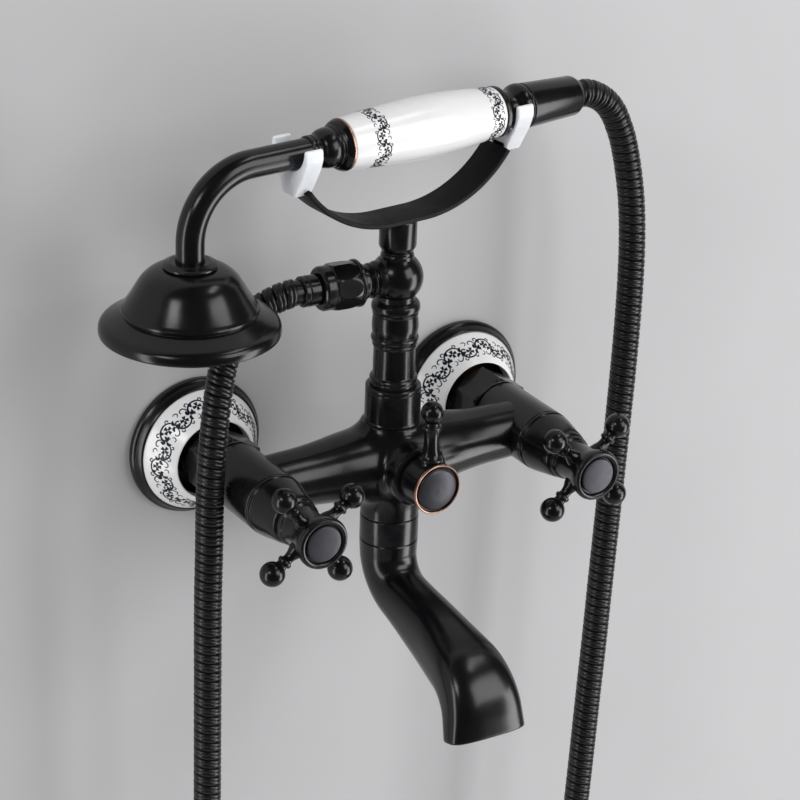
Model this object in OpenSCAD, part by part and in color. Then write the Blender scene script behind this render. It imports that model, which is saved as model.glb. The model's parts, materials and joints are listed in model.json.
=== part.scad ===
// Wall mounted bath and shower mixer with a telephone-style handset.
// Origin: on the wall face, midway between the two inlets. +X right, +Z up, -Y away from the wall.
// Turned profiles are lists of [radius, distance along the axis]; distances marked "from the wall"
// run along -Y, and handset distances run along the handset's own axis from the riser's axis.

/* [Inlets] */
// Distance between the two inlet centres
inlet_spacing = 150; // [140:1:180]
// Height of the valve axis over the inlet axis, taken up by the eccentric unions
eccentric_rise = 1.6; // [0:0.2:3]
// Radius over the inlet thread
inlet_thread_r = 10.48; // [9.5:0.02:11]
// Length of the inlet thread behind the wall face
inlet_thread_len = 15; // [10:1:25]
// Radius of the water bore through a union
union_bore_r = 7; // [5:0.5:7.5]
// Radius over the union's thread on the valve side
union_thread_r = 13.2; // [12.8:0.1:13.6]
// Length of the union's thread on the valve side
union_thread_len = 13.5; // [12:0.5:16]
// Thickness of the hexagon on the union
union_hex_t = 6; // [5:0.5:7]
// Radius across the corners of the union's hexagon
union_hex_r = 14.5; // [14:0.1:16]
// Thickness of the union's sealing washer
inlet_washer_t = 2; // [1:0.5:3]
// Radius across the corners of the union nut
union_nut_r = 17.3; // [16.6:0.1:18.4]
// Length of the union nut
union_nut_len = 18; // [16:0.5:20]

/* [Escutcheons] */
// Width of the escutcheon's metal rim outside the porcelain
flange_rim = 3.9; // [3:0.1:6]
// Height of the metal rim from the wall
flange_h = 7.6; // [7:0.1:10]
// Thickness of the web that carries the porcelain ring
flange_web = 4.3; // [3:0.1:5]
// Outer radius of the porcelain ring
porcelain_r = 30.8; // [28:0.1:32]
// Radius of the hole in the porcelain ring
porcelain_hole_r = 19.7; // [19:0.1:22]
// Height of the porcelain ring's front edge from the wall
porcelain_h = 22.2; // [18:0.1:24]

/* [Valve body] */
// Distance of the body's axis from the wall
body_d = 60; // [60:0.5:66]
// Wall of a barrel round its cartridge
barrel_wall = 4.3; // [4.2:0.1:5.4]
// Length of a barrel from the body's axis to its front face
barrel_len = 20; // [19:0.5:24]
// Radius of the cross arms at the barrels
arm_r = 14; // [11:0.1:14.4]
// Radius of the centre of the body
centre_r = 18.6; // [16:0.1:20]
// Height of the body above its axis
body_top = 19.4; // [17:0.1:22]
// Depth of the body below its axis
body_bottom = 29.6; // [26:0.1:34]
// Radius of the body's neck where the spout collar fits
body_neck_r = 14.2; // [13:0.1:14.6]
// Radius of the water ways in the casting
water_r = 6.5; // [5:0.5:7]

/* [Head works] */
// Radius of a cartridge
cartridge_r = 10.9; // [10.6:0.1:11.2]
// How much thinner a cartridge's neck is than the cartridge, as a radius
cartridge_step = 2.5; // [2.1:0.1:3.2]
// Radius of the ceramic discs
disc_r = 7.9; // [7:0.1:8.4]
// Thickness of one ceramic disc
disc_t = 3; // [2:0.5:3.5]
// Radius of a spindle
spindle_r = 4.5; // [4:0.1:5]
// Length of the bonnet in front of the barrel
bonnet_len = 20; // [17:0.5:24]

/* [Cross handles] */
// Radius of the handle's front disc
hub_r = 12.6; // [11.5:0.1:14]
// Length of the handle's hub
hub_len = 25.7; // [24:0.1:28]
// Distance from the back of the hub to the spokes
spoke_d = 14.4; // [13.5:0.1:16]
// Radius from the handle's axis to the centre of a spoke's ball
spoke_reach = 25.4; // [23:0.1:30]
// Radius of a spoke's ball
spoke_ball_r = 5.9; // [5:0.1:7]
// Angle of the left handle's first spoke when closed
left_spoke_angle = 36; // [0:1:90]
// Angle of the right handle's first spoke when closed
right_spoke_angle = 46; // [0:1:90]
// Radius of the index button
index_r = 10.2; // [9:0.1:10.8]

/* [Diverter] */
// Radius of the diverter boss
boss_r = 15; // [14.2:0.1:16.5]
// Length of the boss from the body's axis
boss_len = 27.4; // [26:0.1:30]
// Radius of the diverter cartridge
diverter_r = 9.4; // [9:0.1:9.8]
// Radius of the diverter knob
knob_r = 12.4; // [11.8:0.1:14]
// Length of the diverter knob
knob_len = 14.4; // [13.5:0.1:17]
// Distance from the back of the knob to the lever
lever_d = 7.2; // [6.8:0.1:8]
// Radius from the knob's axis to the centre of the lever's ball
lever_reach = 37; // [32:0.5:42]
// Radius of the lever's ball
lever_ball_r = 5.3; // [4.8:0.1:6.5]

/* [Riser] */
// Radius of the collar on top of the body
riser_collar_r = 13.3; // [12.6:0.1:14]
// Height of that collar
riser_collar_h = 19; // [16:0.5:22]
// Radius of the riser column
column_r = 9.8; // [9.6:0.1:10.6]
// Height of the column above its collar
column_h = 43; // [40:0.5:50]
// Radius of the ball tee
tee_r = 12.6; // [12:0.1:14]
// Height of the ball's centre above the column
tee_rise = 11.2; // [10.8:0.1:12]
// Radius of the cradle post
post_r = 8.85; // [8:0.05:9.5]
// Height of the cradle post above the ball's neck
post_h = 15.9; // [13:0.1:20]

/* [Cradle] */
// Angle of the cradle and the handset about the riser
cradle_turn = 5; // [-12:1:12]
// Width of the cradle's strip
strip_w = 19; // [16:0.5:22]
// Thickness of the strip
strip_t = 2.4; // [2:0.1:3]
// Half length of the strip's flat middle
strip_flat = 9; // [9:0.5:12]
// Radius of the strip's bends, to its underside
strip_bend_r = 60; // [55:1:66]
// Width of a hook liner along the handset
liner_w = 9; // [7:0.1:9.2]
// Thickness of a liner's horns
liner_wall = 2.6; // [2:0.1:3]
// Height of a liner's horns above the handset's axis
horn_h = 5.4; // [3:0.1:7]
// Distance from the riser to the middle of the left liner
left_liner_t = 57.5; // [57.2:0.1:60]
// Distance from the riser to the middle of the right liner
right_liner_t = 62.1; // [62.1:0.1:62.5]

/* [Handset] */
// Height of the handset's axis above the top of the cradle post
handset_rise = 41.8; // [41:0.1:43]
// Radius of the gooseneck tube
neck_r = 6.5; // [6:0.1:7]
// Radius of the gooseneck's bend, to its centre line
neck_bend_r = 31.2; // [28:0.2:36]
// Distance from the riser to the start of the bend
neck_bend_t = 83; // [80:0.5:90]
// How far the porcelain's front end stands from the end of the bent neck
neck_socket = 15.9; // [14:0.1:17]
// Drop from the handset's axis to the top of the shower head
head_drop = 39.1; // [38:0.1:46]
// Radius of the shower head's rim
head_r = 41; // [38:0.5:50]
// Height of the shower head
head_h = 34; // [32:0.5:40]
// Thickness of the shower head's shell
head_wall = 1.6; // [1.2:0.1:2]
// Front end of the porcelain handle, before the riser
handle_front = 33.5; // [32:0.5:35]
// Back end of the porcelain handle, behind the riser
handle_back = 53; // [52.6:0.1:53.2]
// Largest radius of the porcelain handle
handle_r = 14.6; // [13.5:0.1:16]
// Radius of the porcelain handle's ends
handle_end_r = 12.1; // [11.4:0.1:12.6]
// Radius of the pipe inside the handle
core_r = 5.8; // [5:0.1:6]
// Radius of the rounded bulb behind the waist
bulb_r = 11.1; // [10.4:0.1:11.4]
// Radius of the waist that lies in the right liner
waist_r = 8.3; // [7.4:0.1:8.8]
// Length of the hose nut on the handset
cone_nut_len = 33.5; // [31:0.5:36]

/* [Hose] */
// Outside radius of the hose
hose_r = 6.7; // [6:0.1:7]
// Radius of the threads that the hose nuts screw on
hose_thread_r = 8.6; // [8.2:0.1:9]
// Turn of the tee's outlet towards the wall
outlet_turn = 4; // [0:1:8]
// Distance from the riser's axis to the tee's sealing face
tee_outlet_len = 31; // [29:0.5:32]
// How far the hose nut reaches past the tee's sealing face
tee_nut_cover = 10; // [9:0.5:12]
// Radius over the tee nut's flange
tee_nut_r = 11.3; // [11:0.1:12.5]
// Length of the hose ferrule beyond the tee nut
ferrule_len = 9; // [7:0.5:11]

/* [Spout] */
// Height of the collar between the body and the spout
spout_collar_h = 13; // [11:0.5:16]
// Straight drop at the top of the spout
spout_drop = 6.1; // [5:0.1:10]
// Radius of the spout's upper bend
spout_bend_1 = 20; // [18:0.5:26]
// Angle of the upper bend
spout_angle_1 = 77.3; // [70:0.1:84]
// Length of the straight between the bends
spout_straight = 55.5; // [45:0.5:70]
// Radius of the spout's lower bend
spout_bend_2 = 24; // [20:0.5:30]
// Angle of the lower bend
spout_angle_2 = 62.3; // [55:0.1:72]
// Straight length at the mouth
spout_tip_len = 9.3; // [7:0.1:14]
// Half width of the spout's mouth
mouth_w = 20.7; // [17:0.1:24]
// Half depth of the spout's mouth
mouth_d = 8.8; // [7.5:0.1:11]
// Wall thickness of the spout
spout_wall = 1.8; // [1.4:0.1:2.2]

/* [Hidden] */
black = [0.06, 0.06, 0.065];
brass = [0.78, 0.62, 0.32];
white = [0.95, 0.95, 0.93];
rubber = [0.12, 0.12, 0.12];

$fn = 72;
// Clearance of a piece that is screwed or pushed into another
fit = 0.1;
// Clearance of a spindle in its bore
running = 0.07;
// Clearance between a moving piece and a fixed one
gap = 0.3;
// Cut-outs reach this far past a face
past = 1;

// Heights and distances that follow from the sizes above
axis_z = eccentric_rise;
flange_r = porcelain_r + flange_rim;
barrel_r = cartridge_r + barrel_wall;
cartridge_neck_r = cartridge_r - cartridge_step;
union_end = flange_h + union_hex_t + 6.4 + union_thread_len;
tail_face = union_end + inlet_washer_t;
tail_r = union_thread_r - 0.3;
tail_neck_r = 11.4;
barrel_rear = tail_face + 5.5;
barrel_front = body_d + barrel_len;
chamber_floor = body_d - 6;
bonnet_front = barrel_front + bonnet_len;
hub_back = bonnet_front + gap;
hub_front = hub_back + hub_len;
boss_front = body_d + boss_len;
knob_back = boss_front + gap;
knob_front = knob_back + knob_len;
diverter_floor = body_d - 10;
body_top_z = axis_z + body_top;
column_z = body_top_z + riser_collar_h;
column_top_z = column_z + column_h;
tee_z = column_top_z + tee_rise;
neck_top_z = tee_z + tee_r + 0.6;
post_top_z = neck_top_z + post_h;
handset_z = post_top_z + handset_rise;
head_top_z = handset_z - head_drop;
head_rim_z = head_top_z - head_h;
head_t = -(neck_bend_t + neck_bend_r);
strip_end_angle = 53.9;
strip_end_t = strip_flat + strip_bend_r * sin(strip_end_angle);
strip_end_z = post_top_z + strip_bend_r * (1 - cos(strip_end_angle));
tongue_z = post_top_z + strip_bend_r * 0.405;
liner_inner_r = bulb_r + gap;
liner_outer_r = liner_inner_r + liner_wall;
nut_back = handle_back + 17.5;
nut_end = nut_back + cone_nut_len;
collar_bottom_z = axis_z - body_bottom - spout_collar_h;
neck_end = handle_front + neck_socket;
tee_nut_end = tee_outlet_len + tee_nut_cover;

// Points at distance d along the tee's outlet and along the handset's axis
function outlet_point(d) = [-d * cos(outlet_turn), d * sin(outlet_turn) - body_d, tee_z];
function handset_point(d) = [d * cos(cradle_turn), d * sin(cradle_turn) - body_d, handset_z];

// The hose's route between its two straight ends, as [x, y, z]
FREE_ROUTE = [[-56.9, -55.8, 93.7], [-63.1, -54.5, 91.6], [-69, -53, 88.3],
    [-74.4, -51.9, 83.9], [-79.2, -51.5, 78.8], [-83.2, -51.7, 73.1], [-86.4, -52.4, 66.6], [-89.3, -53.9, 58.5],
    [-92, -55.5, 48], [-94.6, -57.3, 34], [-96.8, -58.8, 17], [-98, -59.6, 0], [-98.5, -60, -25],
    [-99, -60, -55], [-99, -60, -90], [-99, -60, -125], [-99, -60, -160], [-99, -60, -195], [-99, -60, -230],
    [-99, -60, -265], [-99, -60, -300], [-98.5, -60, -335], [-97.5, -60, -370], [-95, -59.5, -405],
    [-91, -59, -439], [-84, -59, -470], [-72.5, -58.5, -498], [-56, -58, -521], [-35, -57.5, -538],
    [-11, -57, -547], [14, -56.5, -548], [38, -56, -541], [60, -55.5, -526], [78, -55, -507],
    [92.5, -54.5, -483], [104, -54, -456], [112, -53.5, -427], [117.5, -53, -396], [121, -52.5, -363],
    [123.5, -52, -330], [125.5, -52, -297], [127.3, -52, -265], [129, -52, -235], [130.7, -52, -203],
    [132.3, -52, -170], [134, -52, -138], [135.5, -52, -105], [137.1, -52, -72], [138.7, -52, -40],
    [140.2, -52, -8], [141.4, -52, 22], [142, -52, 50], [142, -51.8, 72], [141.3, -51.5, 90],
    [140, -51.1, 105], [138, -50.7, 117.5], [135.6, -50.3, 129], [132.9, -50, 138.6], [129.6, -49.8, 146.6],
    [127.3, -49.7, 151.3], [123, -49.7, 157], [117.4, -49.9, 161.4], [110.9, -50.3, 164.4]];
hose_start = tee_nut_end + ferrule_len + fit;
hose_end = nut_end + 2 * fit;
HOSE_ROUTE = concat([outlet_point(hose_start), outlet_point(hose_start + 1.7)], FREE_ROUTE,
    [handset_point(hose_end + 1.7), handset_point(hose_end)]);

// --- Helpers -------------------------------------------------------------------------------------

// Turns a profile of [radius, height] round the Z axis
module turned(profile) {
    rotate_extrude() polygon(profile);
}

// Puts an upright piece on an axis that runs straight out from the wall
module outward(x, z) {
    translate([x, 0, z]) rotate([90, 0, 0]) children();
}

// Puts a piece on the valve axis of one side, -1 left or 1 right
module on_side(side) {
    outward(side * inlet_spacing / 2, axis_z) children();
}

// A straight round bar between two heights
module bar(r, from, to) {
    translate([0, 0, from]) cylinder(r = r, h = to - from);
}

// A hexagonal bar between two heights
module hexagon(r, from, to) {
    translate([0, 0, from]) cylinder(r = r, h = to - from, $fn = 6);
}

// Stands children on the riser's axis
module on_riser() {
    translate([0, -body_d, 0]) children();
}

// Puts children in the cradle's frame: X along the handset, Z up
module in_cradle() {
    on_riser() rotate([0, 0, cradle_turn]) children();
}

// Lays an upright piece along the handset's axis
module on_handset() {
    in_cradle() translate([0, 0, handset_z]) rotate([0, 90, 0]) children();
}

// Lays an upright piece along the tee's outlet
module on_outlet() {
    translate([0, -body_d, tee_z]) rotate([0, 0, -outlet_turn]) rotate([0, -90, 0]) children();
}

// Points of an arc about a centre
function arc(centre, r, from, to, steps = 12) =
    [for (i = [0:steps]) centre + r * [cos(from + (to - from) * i / steps), sin(from + (to - from) * i / steps)]];

// --- Inlets --------------------------------------------------------------------------------------

module escutcheon(side) {
    hub = union_hex_r - 1;
    color(black) outward(side * inlet_spacing / 2, 0) turned([
        [inlet_thread_r + fit, flange_web - 2.3], [porcelain_r - 2.6, flange_web - 2.3],
        [porcelain_r + 0.6, 0], [flange_r, 0], [flange_r, 2.3], [flange_r - 0.6, 3.3],
        [porcelain_r + 0.9, flange_h - 0.3], [porcelain_r + 0.4, flange_h], [porcelain_r + fit, flange_h - 0.2],
        [porcelain_r + fit, flange_h - 1.3], [hub, flange_h - 1.3], [hub, flange_h + 5],
        [inlet_thread_r + fit, flange_h + 5]]);
}

module porcelain_ring(side) {
    base = flange_h - 1.3;
    back_r = porcelain_r - 4;
    color(white) outward(side * inlet_spacing / 2, 0) turned([
        [back_r, base], [porcelain_r, base], [porcelain_r, base + 1.5],
        [porcelain_hole_r + 1.4, porcelain_h - 0.6], [porcelain_hole_r + 0.7, porcelain_h],
        [porcelain_hole_r + 0.1, porcelain_h - 0.3], [porcelain_hole_r, porcelain_h - 1],
        [porcelain_hole_r, porcelain_h - 6.2]]);
}

module union_fitting(side) {
    hex_back = flange_h + 6.4;
    color(brass) difference() {
        union() {
            outward(side * inlet_spacing / 2, 0) bar(inlet_thread_r, -inlet_thread_len, -0.5);
            outward(side * inlet_spacing / 2, 0) bar(inlet_thread_r - 0.6, -inlet_thread_len, hex_back);
            outward(side * inlet_spacing / 2, 0) bar(inlet_thread_r, 0.5, hex_back);
            on_side(side) hexagon(union_hex_r, hex_back - 1.2, hex_back + union_hex_t);
            on_side(side) bar(union_thread_r, hex_back + union_hex_t - 1, union_end);
        }
        outward(side * inlet_spacing / 2, 0) bar(union_bore_r, -inlet_thread_len - past, hex_back + 4);
        on_side(side) bar(water_r, hex_back + 4 - past, union_end + past);
    }
}

module union_nut(side) {
    nut_front = barrel_rear - 0.6;
    nut_back_d = nut_front - union_nut_len;
    color(black) on_side(side) difference() {
        intersection() {
            hexagon(union_nut_r, nut_back_d, nut_front);
            turned([[0, nut_back_d], [union_nut_r - 1.6, nut_back_d], [union_nut_r, nut_back_d + 1],
                [union_nut_r, nut_front - 1.4], [union_nut_r - 2, nut_front], [0, nut_front]]);
        }
        bar(union_thread_r + fit, nut_back_d - past, tail_face + 2.5);
        bar(tail_neck_r + 0.2, nut_back_d, nut_front + past);
    }
}

module inlet_washer(side) {
    color(rubber) on_side(side) difference() {
        bar(union_thread_r - 0.4, union_end, tail_face);
        bar(water_r, union_end - past, tail_face + past);
    }
}

// --- Valve body ----------------------------------------------------------------------------------

module barrel_form() {
    turned([[0, tail_face], [tail_r, tail_face], [tail_r, tail_face + 2], [tail_neck_r, tail_face + 2.4],
        [tail_neck_r, barrel_rear], [barrel_r - 0.7, barrel_rear], [barrel_r, barrel_rear + 0.7],
        [barrel_r, barrel_front], [0, barrel_front]]);
}

module arm_form() {
    end = inlet_spacing / 2;
    rotate([0, 90, 0]) turned([[0, -end], [arm_r - 0.4, -end], [arm_r, -end * 0.7], [arm_r + 0.8, -end * 0.55],
        [arm_r + 2.2, -end * 0.43], [centre_r - 0.8, -end * 0.32], [centre_r, -end * 0.2],
        [centre_r, end * 0.2], [centre_r - 0.8, end * 0.32], [arm_r + 2.2, end * 0.43],
        [arm_r + 0.8, end * 0.55], [arm_r, end * 0.7], [arm_r - 0.4, end], [0, end]]);
}

module column_form() {
    turned([[0, -body_bottom], [body_neck_r - 0.4, -body_bottom], [body_neck_r, 0.6 - body_bottom],
        [body_neck_r + 0.3, 6 - body_bottom], [centre_r - 2.4, 14 - body_bottom], [centre_r, 22 - body_bottom],
        [centre_r, body_top - 16], [centre_r - 1.6, body_top - 9], [body_neck_r + 0.8, body_top - 4],
        [body_neck_r - 0.2, body_top], [0, body_top]]);
}

// A lens between the arms and the column that fills the four inner corners of the cross
module corner_form() {
    web_r = centre_r + 8;
    reach = body_top - 1;
    intersection() {
        rotate([90, 0, 0]) turned([[0, -arm_r], [web_r * 0.53, 0.4 - arm_r], [web_r * 0.7, -arm_r * 0.8],
            [web_r * 0.86, -arm_r * 0.5], [web_r * 0.96, -arm_r * 0.22], [web_r, 0], [web_r * 0.96, arm_r * 0.22],
            [web_r * 0.86, arm_r * 0.5], [web_r * 0.7, arm_r * 0.8], [web_r * 0.53, arm_r - 0.4], [0, arm_r]]);
        cube([3 * web_r, 3 * arm_r, 2 * reach], center = true);
    }
}

module boss_form() {
    turned([[0, body_d], [boss_r, body_d], [boss_r, boss_front - 3.2], [boss_r - 0.4, boss_front - 1.6],
        [boss_r - 1.3, boss_front - 0.5], [boss_r - 2.4, boss_front], [0, boss_front]]);
}

module valve_body() {
    color(black) difference() {
        union() {
            for (side = [-1, 1]) on_side(side) barrel_form();
            translate([0, -body_d, axis_z]) arm_form();
            translate([0, -body_d, axis_z]) column_form();
            translate([0, -body_d, axis_z]) corner_form();
            outward(0, axis_z) boss_form();
        }
        for (side = [-1, 1]) on_side(side) {
            bar(water_r, tail_face - past, chamber_floor + past);
            bar(cartridge_r + fit, chamber_floor, barrel_front + past);
            bar(cartridge_r + 1.7, barrel_front - 5.2, barrel_front + past);
        }
        translate([-inlet_spacing / 2, -body_d, axis_z]) rotate([0, 90, 0]) cylinder(r = water_r, h = inlet_spacing);
        translate([0, -body_d, axis_z - body_bottom - past]) cylinder(r = water_r, h = body_bottom + body_top + 2 * past);
        outward(0, axis_z) {
            bar(diverter_r + fit, diverter_floor, boss_front + past);
            bar(diverter_r + 1.6, boss_front - 7.5, boss_front + past);
        }
    }
}

// --- Head works ----------------------------------------------------------------------------------

module cartridge(side) {
    ports_d = body_d;
    room = disc_r + 0.2;
    ceiling = chamber_floor + 2 * disc_t + 7;
    color(brass) on_side(side) difference() {
        union() {
            bar(cartridge_r, chamber_floor, barrel_front - 0.2);
            bar(cartridge_neck_r, chamber_floor, bonnet_front - 2);
        }
        bar(room, chamber_floor - past, ceiling);
        bar(spindle_r + running, chamber_floor, bonnet_front);
        translate([-cartridge_r - past, 0, ports_d]) rotate([0, 90, 0]) cylinder(r = 4, h = 2 * (cartridge_r + past));
    }
}

// Two round ports through a ceramic disc
module disc_ports(from, to) {
    for (x = [-1, 1] * disc_r * 0.53) translate([x, 0, 0]) bar(disc_r * 0.3, from - past, to + past);
}

module fixed_disc(side) {
    color(white) on_side(side) difference() {
        bar(disc_r, chamber_floor, chamber_floor + disc_t);
        disc_ports(chamber_floor, chamber_floor + disc_t);
    }
}

module moving_disc(side) {
    back = chamber_floor + disc_t + 0.1;
    color(white) on_side(side) difference() {
        bar(disc_r - 0.1, back, back + disc_t);
        disc_ports(back, back + disc_t);
    }
}

module spindle(side) {
    plate = chamber_floor + 2 * disc_t + 0.1;
    tip = hub_back + 12;
    color(brass) on_side(side) difference() {
        union() {
            bar(disc_r - 0.1, plate, plate + 3);
            bar(spindle_r, plate, tip);
        }
        bar(2, tip - 11, tip + past);
    }
}

module bonnet(side) {
    d = barrel_front;
    color(black) on_side(side) turned([[cartridge_r + 0.2, d - 5], [cartridge_r + 1.6, d - 5], [cartridge_r + 1.6, d],
        [barrel_r - 0.1, d], [barrel_r - 0.1, d + 1.2], [barrel_r - 0.9, d + 1.7], [barrel_r - 0.9, d + 2.3],
        [barrel_r - 0.4, d + 2.9], [barrel_r - 1.2, d + bonnet_len * 0.35], [barrel_r - 2.1, d + bonnet_len * 0.55],
        [barrel_r - 2.8, d + bonnet_len * 0.75], [barrel_r - 3.3, d + bonnet_len * 0.9],
        [barrel_r - 4.4, bonnet_front - 0.5], [barrel_r - 5.4, bonnet_front], [cartridge_neck_r + 0.2, bonnet_front],
        [cartridge_neck_r + 0.2, d + 0.6], [cartridge_r + 0.2, d + 0.6]]);
}

// --- Cross handles -------------------------------------------------------------------------------

// One spoke and its ball, standing on the Z axis
module spoke() {
    turned([[0, 6], [4.6, 6], [4.4, spoke_reach - 15.4], [3.1, spoke_reach - 12.9], [2.5, spoke_reach - 10.4],
        [2.6, spoke_reach - 8.8], [3.5, spoke_reach - 8], [3.5, spoke_reach - 7], [2.8, spoke_reach - 6.2],
        [3.2, spoke_reach - 5], [0, spoke_reach - 4]]);
    translate([0, 0, spoke_reach]) sphere(r = spoke_ball_r);
}

module cross_handle(side, angle) {
    b = hub_back;
    color(black) on_side(side) difference() {
        union() {
            turned([[0, b], [hub_r - 2.8, b], [hub_r - 2, b + 0.7], [hub_r - 1.7, b + 1.9], [hub_r - 2.3, b + 3.1],
                [hub_r - 3, b + 4.2], [hub_r - 3.2, b + 8], [hub_r - 2.7, b + 12], [hub_r - 2, b + 16],
                [hub_r - 1, hub_front - 6.6], [hub_r - 0.3, hub_front - 4.2], [hub_r, hub_front - 2.9],
                [hub_r, hub_front - 0.9], [hub_r - 0.6, hub_front], [0, hub_front]]);
            for (turn = [0:90:270])
                translate([0, 0, b + spoke_d]) rotate([0, 0, angle + turn]) rotate([0, 90, 0]) spoke();
        }
        bar(spindle_r, b - past, b + 12);
        bar(2.1, b + 11, hub_front);
        bar(4.2, b + 18.7, hub_front);
        bar(index_r + fit, hub_front - 1.2, hub_front + past);
    }
}

module handle_screw(side) {
    seat = hub_back + 18.7;
    color(brass) on_side(side) {
        bar(2, hub_back + 2, seat + 0.5);
        bar(3.8, seat, seat + 2.6);
    }
}

module index_button(side) {
    color([0.2, 0.19, 0.21]) on_side(side) turned([[0, hub_front - 1.2], [index_r, hub_front - 1.2],
        [index_r, hub_front - 0.2], [index_r - 0.5, hub_front + 0.2], [index_r * 0.5, hub_front + 0.4],
        [0, hub_front + 0.45]]);
}

// --- Diverter ------------------------------------------------------------------------------------

module diverter_cartridge() {
    front = boss_front - 7.6;
    color(brass) outward(0, axis_z) difference() {
        bar(diverter_r, diverter_floor, front);
        bar(diverter_r - 1.6, diverter_floor + 2, front - 8);
        bar(4 + running, diverter_floor + 2, front + past);
        translate([0, -diverter_r - past, body_d]) rotate([-90, 0, 0]) cylinder(r = 4.5, h = 2 * (diverter_r + past));
        translate([-diverter_r - past, 0, body_d]) rotate([0, 90, 0]) cylinder(r = 4.5, h = 2 * (diverter_r + past));
    }
}

module diverter_rotor() {
    back = diverter_floor + 2.1;
    tip = knob_back + 10;
    color(brass) outward(0, axis_z) difference() {
        union() {
            bar(diverter_r - 1.8, back, back + 15);
            bar(4, back, tip);
        }
        translate([0, 0, body_d]) rotate([-90, 0, 0]) cylinder(r = 4.5, h = diverter_r);
        translate([-diverter_r, 0, body_d]) rotate([0, 90, 0]) cylinder(r = 4.5, h = diverter_r * 2);
    }
}

module diverter_retainer() {
    back = boss_front - 7.5;
    color(brass) outward(0, axis_z) difference() {
        bar(diverter_r + 1.5, back, boss_front - 0.1);
        bar(4 + running, back - past, boss_front + past);
    }
}

module diverter_lever() {
    b = knob_back;
    l = lever_reach;
    color(black) outward(0, axis_z) difference() {
        union() {
            turned([[0, b], [knob_r - 0.8, b], [knob_r - 0.2, b + 0.6], [knob_r - 0.2, knob_front - 1.6],
                [knob_r, knob_front - 1.2], [knob_r, knob_front - 0.4], [knob_r - 0.3, knob_front],
                [knob_r - 0.7, knob_front], [knob_r - 0.7, knob_front - 1.1], [0, knob_front - 1.1]]);
            translate([0, 0, b + lever_d]) rotate([-90, 0, 0]) {
                turned([[0, 8], [5.4, 8], [5.4, l - 24.4], [5.7, l - 23.7], [5.4, l - 22.8], [4.7, l - 22],
                    [4.2, l - 21], [3.8, l - 19], [3.5, l - 15], [3.6, l - 11], [4, l - 8.6], [4.6, l - 8],
                    [4.6, l - 6.8], [3.9, l - 6.2], [3.5, l - 5], [0, l - 4]]);
                translate([0, 0, l]) sphere(r = lever_ball_r);
            }
        }
        bar(4, b - past, b + 10);
    }
}

module diverter_cap() {
    floor_d = knob_front - 1.1;
    cap_r = knob_r - 1.9;
    color([0.2, 0.19, 0.21]) outward(0, axis_z) turned([[0, floor_d], [cap_r, floor_d], [cap_r, floor_d + 0.7],
        [cap_r - 0.7, floor_d + 1.3], [cap_r * 0.7, floor_d + 2], [cap_r * 0.4, floor_d + 2.5], [0, floor_d + 2.7]]);
}

// --- Riser ---------------------------------------------------------------------------------------

module riser_collar() {
    z = column_z;
    color(black) on_riser() turned([[column_r - 0.2, body_top_z], [riser_collar_r, body_top_z],
        [riser_collar_r + 0.3, body_top_z + 0.8], [riser_collar_r, body_top_z + 1.6], [riser_collar_r, z - 2.6],
        [riser_collar_r - 0.5, z - 2.2], [riser_collar_r, z - 1.8], [riser_collar_r - 0.2, z - 0.5],
        [riser_collar_r - 0.8, z], [column_r - 0.2, z]]);
}

module riser_column() {
    z = column_z;
    top = column_top_z;
    color(black) on_riser() difference() {
        turned([[0, body_top_z], [column_r - 0.3, body_top_z], [column_r - 0.3, z], [column_r + 1.9, z],
            [column_r + 2, z + 1.4], [column_r + 0.7, z + 3], [column_r + 0.2, z + 5], [column_r, z + 8],
            [column_r, top - 23], [column_r + 0.8, top - 22.4], [column_r + 0.8, top - 21.6], [column_r + 0.1, top - 21.2],
            [column_r + 0.3, top - 20.6], [column_r + 1.5, top - 20], [column_r + 1.5, top - 18.6], [column_r + 0.6, top - 18],
            [column_r + 1, top - 17], [column_r + 1.3, top - 12], [column_r + 0.9, top - 8], [column_r + 0.7, top - 7],
            [column_r + 1.4, top - 6.2], [column_r + 2, top - 5], [column_r + 2, top - 3], [column_r + 1, top - 1.2],
            [column_r - 0.6, top - 0.4], [column_r - 1.6, top], [0, top]]);
        bar(water_r, body_top_z - past, top + past);
        bar(water_r + 1.3, top - 5, top + past);
    }
}

module ball_tee() {
    foot_z = column_top_z - 5;
    color(black) difference() {
        union() {
            on_riser() bar(water_r + 1.2, foot_z, tee_z);
            on_outlet() sphere(r = tee_r);
            on_riser() translate([0, 0, tee_z]) turned([[0, 0], [7.9, 0], [7.9, tee_r - 1.2], [7.4, tee_r - 0.6],
                [7.4, tee_r + 0.6], [0, tee_r + 0.6]]);
            on_outlet() turned([[0, 0], [8.9, 0], [8.9, tee_r - 1], [8.1, tee_r - 0.4], [7.2, tee_r + 0.4],
                [8.3, tee_r + 1], [8.3, tee_r + 1.9], [7.2, tee_r + 2.5], [7, tee_r + 4.8],
                [hose_thread_r - fit, tee_r + 5.2], [hose_thread_r - fit, tee_outlet_len], [0, tee_outlet_len]]);
        }
        on_riser() bar(water_r - 1, foot_z - past, tee_z);
        on_outlet() sphere(r = tee_r - 5);
        on_outlet() bar(water_r - 1, 0, tee_outlet_len + past);
        on_riser() bar(4 + fit, neck_top_z - 5, neck_top_z + past);
    }
}

module cradle_post() {
    z = neck_top_z;
    color(black) on_riser() difference() {
        turned([[0, z - 4.8], [4, z - 4.8], [4, z], [post_r - 1.4, z], [post_r - 0.3, z + 2.2], [post_r, z + 3.2],
            [post_r, post_top_z], [0, post_top_z]]);
        bar(3, z, post_top_z + past);
    }
}

// --- Cradle --------------------------------------------------------------------------------------

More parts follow.
